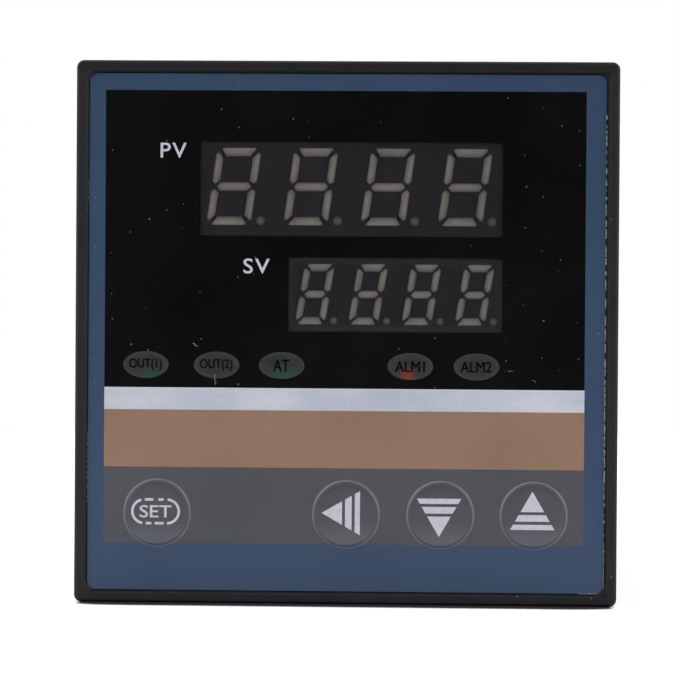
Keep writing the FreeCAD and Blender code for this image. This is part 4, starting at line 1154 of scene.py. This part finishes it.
def ferrite():
    """Fired ferrite: dark grey, dull, with fine paler specks."""
    finish = Finish("ferrite", specular_ior_level=0.3)
    specks = finish.spread(finish.noise(0.18, 2.0), 0.62, 0.72, 0.0, 0.35)
    body = finish.mix(finish.cloud(3.0, 3.0), (42, 41, 43), (56, 55, 57))
    finish.tint(specks, body, (96, 96, 98))
    finish.feed("Roughness", finish.cloud(0.8, 2.0, 0.5, 0.66))
    finish.relief(finish.noise(0.18, 2.0), 0.01, 0.2)
    return finish


def ring_at(y, width, height, corner, centre):
    """A rounded rectangle's outline as points (n, 3) in the plane at that y."""
    return at_depth(rounded_outline(*centre, width, height, corner), y)


def spool(centre):
    """A closed spool: outlines joined in turn along the hole, up each flange and over the drum."""
    whole = (*coil_outer, 0.7, centre)
    drum = (coil_outer[0] - drum_inset, coil_outer[1] - drum_inset, drum_corner, centre)
    hole = (*coil_hole, 0.3, centre)
    first, last = coil_from + spool_flange, coil_to - spool_flange
    steps = [(coil_from, hole), (coil_from, whole), (first, whole), (first, drum), (last, drum),
             (last, whole), (coil_to, whole), (coil_to, hole)]
    return np.stack([ring_at(y, *shape) for y, shape in steps])


def wound_wire(centre):
    """A tube along a helix on the drum: the outline is walked once a turn while y grows evenly, and
    the wire's circle lies between the outline's outward direction and y."""
    width, height = (side - drum_inset + 2 * wire_radius for side in coil_outer)
    outline = rounded_outline(*centre, width, height, drum_corner + wire_radius)
    out = (np.linspace(0, math.pi / 2, 8) + np.arange(4)[:, None] * math.pi / 2).ravel()
    steps = len(outline) * wire_turns
    walk = np.arange(steps + 1) % len(outline)
    room = coil_to - coil_from - 2 * spool_flange - 2 * wire_radius
    y = coil_from + spool_flange + wire_radius + np.arange(steps + 1) / steps * room
    around = np.arange(8) * 2 * math.pi / 8
    radius = np.full(steps + 1, wire_radius)
    radius[[0, -1]] = 0.0
    outward = radius[:, None] * np.cos(around)
    x = outline[walk, 0][:, None] + outward * np.cos(out[walk])[:, None]
    z = outline[walk, 1][:, None] + outward * np.sin(out[walk])[:, None]
    return np.stack([x, y[:, None] + radius[:, None] * np.sin(around), z], -1)


ferrite_grey = ferrite()
paint(ferrite_grey, "choke_core", "transformer_core")
copper_wire = toned("copper_wire", (158, 82, 44), (196, 112, 62), 1.0, rough=(0.22, 0.34), metallic=1.0)
coils = Piece()
for side in (-1, 1):
    centre = (choke_place[0], choke_place[1] + side * choke_coil_apart)
    coils.grid(spool(centre), round_rows=True, round_columns=True, kind=1)
    coils.grid(wound_wire(centre), round_columns=True)
wound_coils = coils.make("choke_windings", "chassis", "copper_wire", copper_wire, component_black)
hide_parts("choke_coils")


# ------------------------------------------------------------------ can capacitors
# Aluminium cans in shrunk plastic sleeves, with a rolled groove over the rubber bung and a scored
# vent in the bare top. A pale stripe of dashes marks the negative side.

can_foot = -24.2
can_sides = 40
stripe_middle, stripe_half = math.radians(150), 0.42


def can_sleeve():
    """Shrunk sleeve: deep blue, with a pale stripe by attribute that dark dashes cross."""
    finish = Finish("capacitor_sleeve", specular_ior_level=0.5)
    stripe = finish.spread(finish.attribute("mark"), 0.45, 0.55)
    shifted = finish.sum("MODULO", finish.plus(finish.across()[0], 60 * mm), 2.6 * mm)
    dash = finish.under(shifted, 1.3 * mm)
    body = finish.mix(finish.cloud(2.0, 3.0), (24, 28, 48), (32, 38, 62))
    pale = finish.mix(finish.times(dash, 0.75), (172, 176, 184), (40, 46, 68))
    finish.tint(stripe, body, pale)
    finish.feed("Roughness", finish.cloud(1.2, 2.0, 0.24, 0.36))
    finish.feed("Normal", finish.bump(finish.noise(1.5, 2.0), 0.02))
    return finish


def can_top(centres):
    """Bare aluminium with a three-armed score about each can's middle, painted darker as shade in the
    groove.
    """
    finish = Finish("can_top", metallic=1.0)
    place = finish.across()
    score_and_shade = 0.0
    for y, z in centres:
        for turn in (90, 210, 330):
            across, along = math.cos(math.radians(turn)), math.sin(math.radians(turn))
            u = finish.minus(place[1], y * mm)
            v = finish.minus(place[2], z * mm)
            side = finish.plus(finish.times(u, across), finish.times(v, along))
            out = finish.minus(finish.times(v, across), finish.times(u, along))
            thin = finish.spread(finish.absolute(side), 0.22 * mm, 0.08 * mm)
            score_and_shade = finish.most(score_and_shade, finish.times(thin, finish.within(out, 0.0, 3.4)))
    tone = finish.cloud(0.6, 3.0)
    bare = finish.mix(tone, (178, 180, 182), (212, 213, 214))
    # Painted shade: each score is tinted darker as well as bumped.
    finish.tint(finish.times(score_and_shade, 0.6), bare, (88, 89, 92))
    finish.feed("Roughness", finish.spread(tone, 0.0, 1.0, 0.28, 0.42))
    finish.feed("Normal", finish.bump(finish.minus(1.0, score_and_shade), 0.2))
    return finish


can_places = {"mains_capacitor": (39.6, 14.5, 5.0, 17.0), "output_capacitor_1": (46.99, -14.5, 3.15, 11.0),
              "output_capacitor_2": (54.89, -14.5, 3.15, 11.0)}
sleeve = can_sleeve()
bare_top = can_top([place[:2] for place in can_places.values()])
for name, (y, z, radius, height) in can_places.items():
    can = Piece()
    way = np.arange(can_sides) * 2 * math.pi / can_sides
    stripe = (np.abs(way - stripe_middle) < stripe_half).astype(float)
    bung = [(0, 0), (radius - 0.7, 0), (radius - 0.7, 0.25), (radius - 0.4, 0.25)]
    skin = [(radius - 0.4, 0.25), (radius - 0.1, 0.05), (radius, 0.3), (radius, 1.5),
            (radius - 0.12, 1.75), (radius - 0.38, 2.0), (radius - 0.38, 2.2), (radius - 0.12, 2.45),
            (radius, 2.7), (radius, height - 0.5), (radius - 0.14, height - 0.2),
            (radius - 0.42, height - 0.03), (radius - 0.75, height), (radius - 0.95, height - 0.05)]
    lid = [skin[-1], (radius - 0.95, height - 0.2), (radius - 1.15, height - 0.28), (0, height - 0.28)]
    for profile, kind in ((bung, 2), (skin, 0), (lid, 1)):
        points = turned(profile, (can_foot, y, z), "x", can_sides)
        can.grid(points, round_columns=True, kind=kind, mark=np.tile(stripe, len(profile)))
    made = can.make(name + "_can", "chassis", "capacitor_sleeve", sleeve, bare_top, component_black)
    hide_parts(name)


# ------------------------------------------------------------------ transformer
# A flyback transformer: ferrite frame, a coil wrapped in yellow polyester tape, and a black
# phenolic bobbin whose feet stand on the power board.


def winding_tape():
    """Clear yellow tape in overlapping turns, a little darker over each overlap."""
    finish = Finish("winding_tape", specular_ior_level=0.5)
    place = finish.across()
    turn = finish.sum("MODULO", finish.plus(place[1], 3.0 * mm), 4.5 * mm)
    overlap = finish.spread(turn, 0.5 * mm, 0.56 * mm)
    wrap = finish.mix(finish.cloud(2.2, 3.0), (196, 148, 44), (222, 178, 70))
    finish.tint(overlap, (176, 128, 38), wrap)
    finish.feed("Roughness", finish.cloud(1.0, 2.0, 0.26, 0.42))
    finish.relief(overlap, 0.05, 0.3)
    return finish


paint(winding_tape(), "transformer_winding")
paint(component_black, "transformer_bobbin")


# ------------------------------------------------------------------ trimmers, relays and snubber
# Blue trimming resistors with a slotted screw, two sealed relays with a resin-filled base, and a
# box capacitor across the relay's contacts.

trimmer_face, relay_seam = 19.55, 22.2


def boxed_finish(name, cover, other, edge, roughness, metal=0.0):
    """Moulded cover that takes the other colour on one side of the plane x = edge: below it where
    that side is bare metal, and above it where it isn't."""
    finish = moulding(name, cover, roughness, 0.14, 0.005, dust=0.2)
    under = finish.tinted()
    x = finish.across()[0]
    beyond = finish.under(x, edge * mm) if metal else finish.over(x, edge * mm)
    finish.tint(beyond, under, other)
    if metal:
        finish.feed("Metallic", finish.times(beyond, metal))
    return finish


paint(boxed_finish("trimmer_blue", (34, 84, 160), (206, 196, 168), trimmer_face, 0.4, 1.0),
      "zero_trimmer", "span_trimmer")
paint(boxed_finish("relay_cover", (40, 62, 104), (22, 22, 24), relay_seam, 0.38),
      "output_relay", "alarm_relay")
paint(moulding("snubber_red", (150, 38, 32), 0.34, 0.3, 0.006, dust=0.2), "snubber_capacitor")


# ------------------------------------------------------------------ terminals
# The moulded rear block carries fourteen tinned brass strips. Each has a square steel clamp plate
# and a pan-head screw with a cross recess, and a plain number stands beside it on the hub.

terminal_x, terminal_step = 28.2, 8.2
screw_seat, screw_top = 93.6, 95.5
screw_head, screw_shank, shank_end = 2.7, 1.5, 89.6
screw_sides, terminals_a_side = 24, 7
recess_radius, recess_depth = 1.9, 1.1
number_x, number_height = 20.1, 2.3

screw_steel = sheet_metal("screw_steel", (150, 148, 142), (192, 190, 184), 0.3, (1.0, 0.3, 1.0))
paint(moulding("terminal_plastic", (30, 30, 32), 0.46, 0.18, 0.008, dust=0.4), "terminal_block")
paint(sheet_metal("contact_brass", (176, 166, 136), (214, 205, 178), 0.28), "terminal_contacts")
paint(screw_steel, "terminal_washers")


def cross_outline(x, z, turn):
    """Outline of the recess: four arms that narrow a little outwards, turned about the screw."""
    reach, root, tip = 1.62, 0.42, 0.3
    arm = np.array([(root, root), (reach - 0.15, tip), (reach, 0.0), (reach - 0.15, -tip)])
    angles = turn + np.arange(4) * -math.pi / 2
    cos, sin = np.cos(angles)[:, None], np.sin(angles)[:, None]
    points = np.stack([arm[:, 0] * cos - arm[:, 1] * sin, arm[:, 0] * sin + arm[:, 1] * cos], -1)
    return points.reshape(-1, 2) + (x, z)


screws = Piece()
rng = np.random.default_rng(14)
for side in (-1, 1):
    for i in range(terminals_a_side):
        x, z = side * terminal_x, (i - 3) * terminal_step
        ring = oval_outline(x, z, 2 * recess_radius, 2 * recess_radius, screw_sides)
        recess = cross_outline(x, z, rng.uniform(0, 1.5))
        floor = screw_top - recess_depth
        screws.add(*cut_sheet([ring, recess], floor, screw_top))
        head = [(0, floor), (recess_radius, floor), (recess_radius, screw_top), (2.3, screw_top - 0.1),
                (2.58, screw_top - 0.36), (screw_head, screw_top - 0.8), (screw_head, screw_seat),
                (screw_shank, screw_seat)]
        thread = [(screw_shank - 0.16 * (k % 2), screw_seat - 0.25 * k) for k in range(1, 15)]
        tip = [(screw_shank - 0.4, shank_end), (0, shank_end)]
        screws.grid(turned(head + thread + tip, (x, 0, z), "y", screw_sides), round_columns=True)
terminal_screws = screws.make("cross_recess_screws", "case", "screw_steel", screw_steel, crease=28.0)
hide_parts("terminal_screws")

numbers = Piece()
hub_back = 98.0
for number in range(1, 2 * terminals_a_side + 1):
    side = 1 if number <= terminals_a_side else -1
    row = (number - 1) % terminals_a_side
    width = 1.3 if number < 10 else 2.5
    flat, triangles = lettering(str(number), number_height, width if number != 1 else 0.7, 0.004)
    spot = flat * (-1, 1) + (side * number_x, (3 - row) * terminal_step)
    place = at_depth(spot, hub_back + ink_proud)
    numbers.add(place, triangles[:, ::-1])
numbers.make("terminal_numbers", "case", "printed_film", pale_print)


# ------------------------------------------------------------------ crumbs of adhesive, dust and hair
# White crumbs of the film's adhesive show along its right edge, and a few bits of lint lie on the
# black field.


def crumb(x, low, high, width):
    """A ragged strip along z: its two sides are a straight line moved by random steps."""
    z = np.linspace(low, high, 7)
    left = x - width / 2 + rng.uniform(-0.03, 0.03, 7)
    right = x + width / 2 * rng.uniform(0.2, 1.0, 7)
    return np.stack([np.column_stack([left, z]), np.column_stack([right, z])], 1)


def eased(line):
    """A smooth line: each corner is cut at a quarter of its two sides, three times over."""
    for _ in range(3):
        first, last = line[:-1], line[1:]
        cut = np.stack([0.75 * first + 0.25 * last, 0.25 * first + 0.75 * last], 1).reshape(-1, 2)
        line = np.concatenate([line[:1], cut, line[-1:]])
    return line


dirt = Piece()
crumb_proud, hair_proud = 0.012, 0.02
left_side, right_side = -film_half - 0.02, film_half + 0.02
crumb_rows = [(left_side, 20.0, 17.4, 0.1, 0.3, 0.6), (left_side, -13.5, -22.5, 0.08, 0.4, 0.5),
              (right_side, 29.0, 14.0, 0.2, 0.9, 0.8), (right_side, 14.0, -6.0, 0.4, 1.6, 1.2),
              (right_side, -6.0, -21.0, 0.5, 2.2, 0.5), (right_side, -21.0, -31.0, 0.2, 0.6, 2.0)]
for x, start, stop, least, most, gap in crumb_rows:
    z = start
    while z > stop:
        length = rng.uniform(least, most)
        ribbon = crumb(x, z - length, z, rng.uniform(0.1, 0.2) if x > 0 else 0.07)
        dirt.grid(at_depth(ribbon, film_front - crumb_proud))
        z -= length + rng.uniform(0.1, gap)
hairs = [[(-17.4, -5.6), (-17.43, -6.1), (-17.38, -6.6), (-17.3, -7.0)],
         [(-20.4, -1.5), (-20.1, -1.62), (-20.0, -1.9), (-19.7, -1.86)],
         [(21.4, -4.98), (21.8, -4.88), (22.2, -4.92)], [(24.7, -6.1), (25.0, -6.15), (25.2, -6.42)]]
for line in hairs:
    ribbon = stroke(eased(np.array(line)), 0.045 if line[0][0] < 0 else 0.026)
    dirt.grid(at_depth(ribbon, film_front - hair_proud))
corner = arc((film_half - film_corner, film_corner - film_half), film_corner, 0, -90, 12)
bead = np.concatenate([[(film_half, -29.0), (film_half, -31.5)], corner, [(31.0, -film_half)]])
dirt.grid(at_depth(stroke(bead, 0.05), film_front - hair_proud))
lint = toned("lint", (112, 113, 112), (180, 180, 176), 0.5, specular_ior_level=0.2, roughness=0.8)
dirt.make("adhesive_and_lint", "chassis", "printed_film", lint)
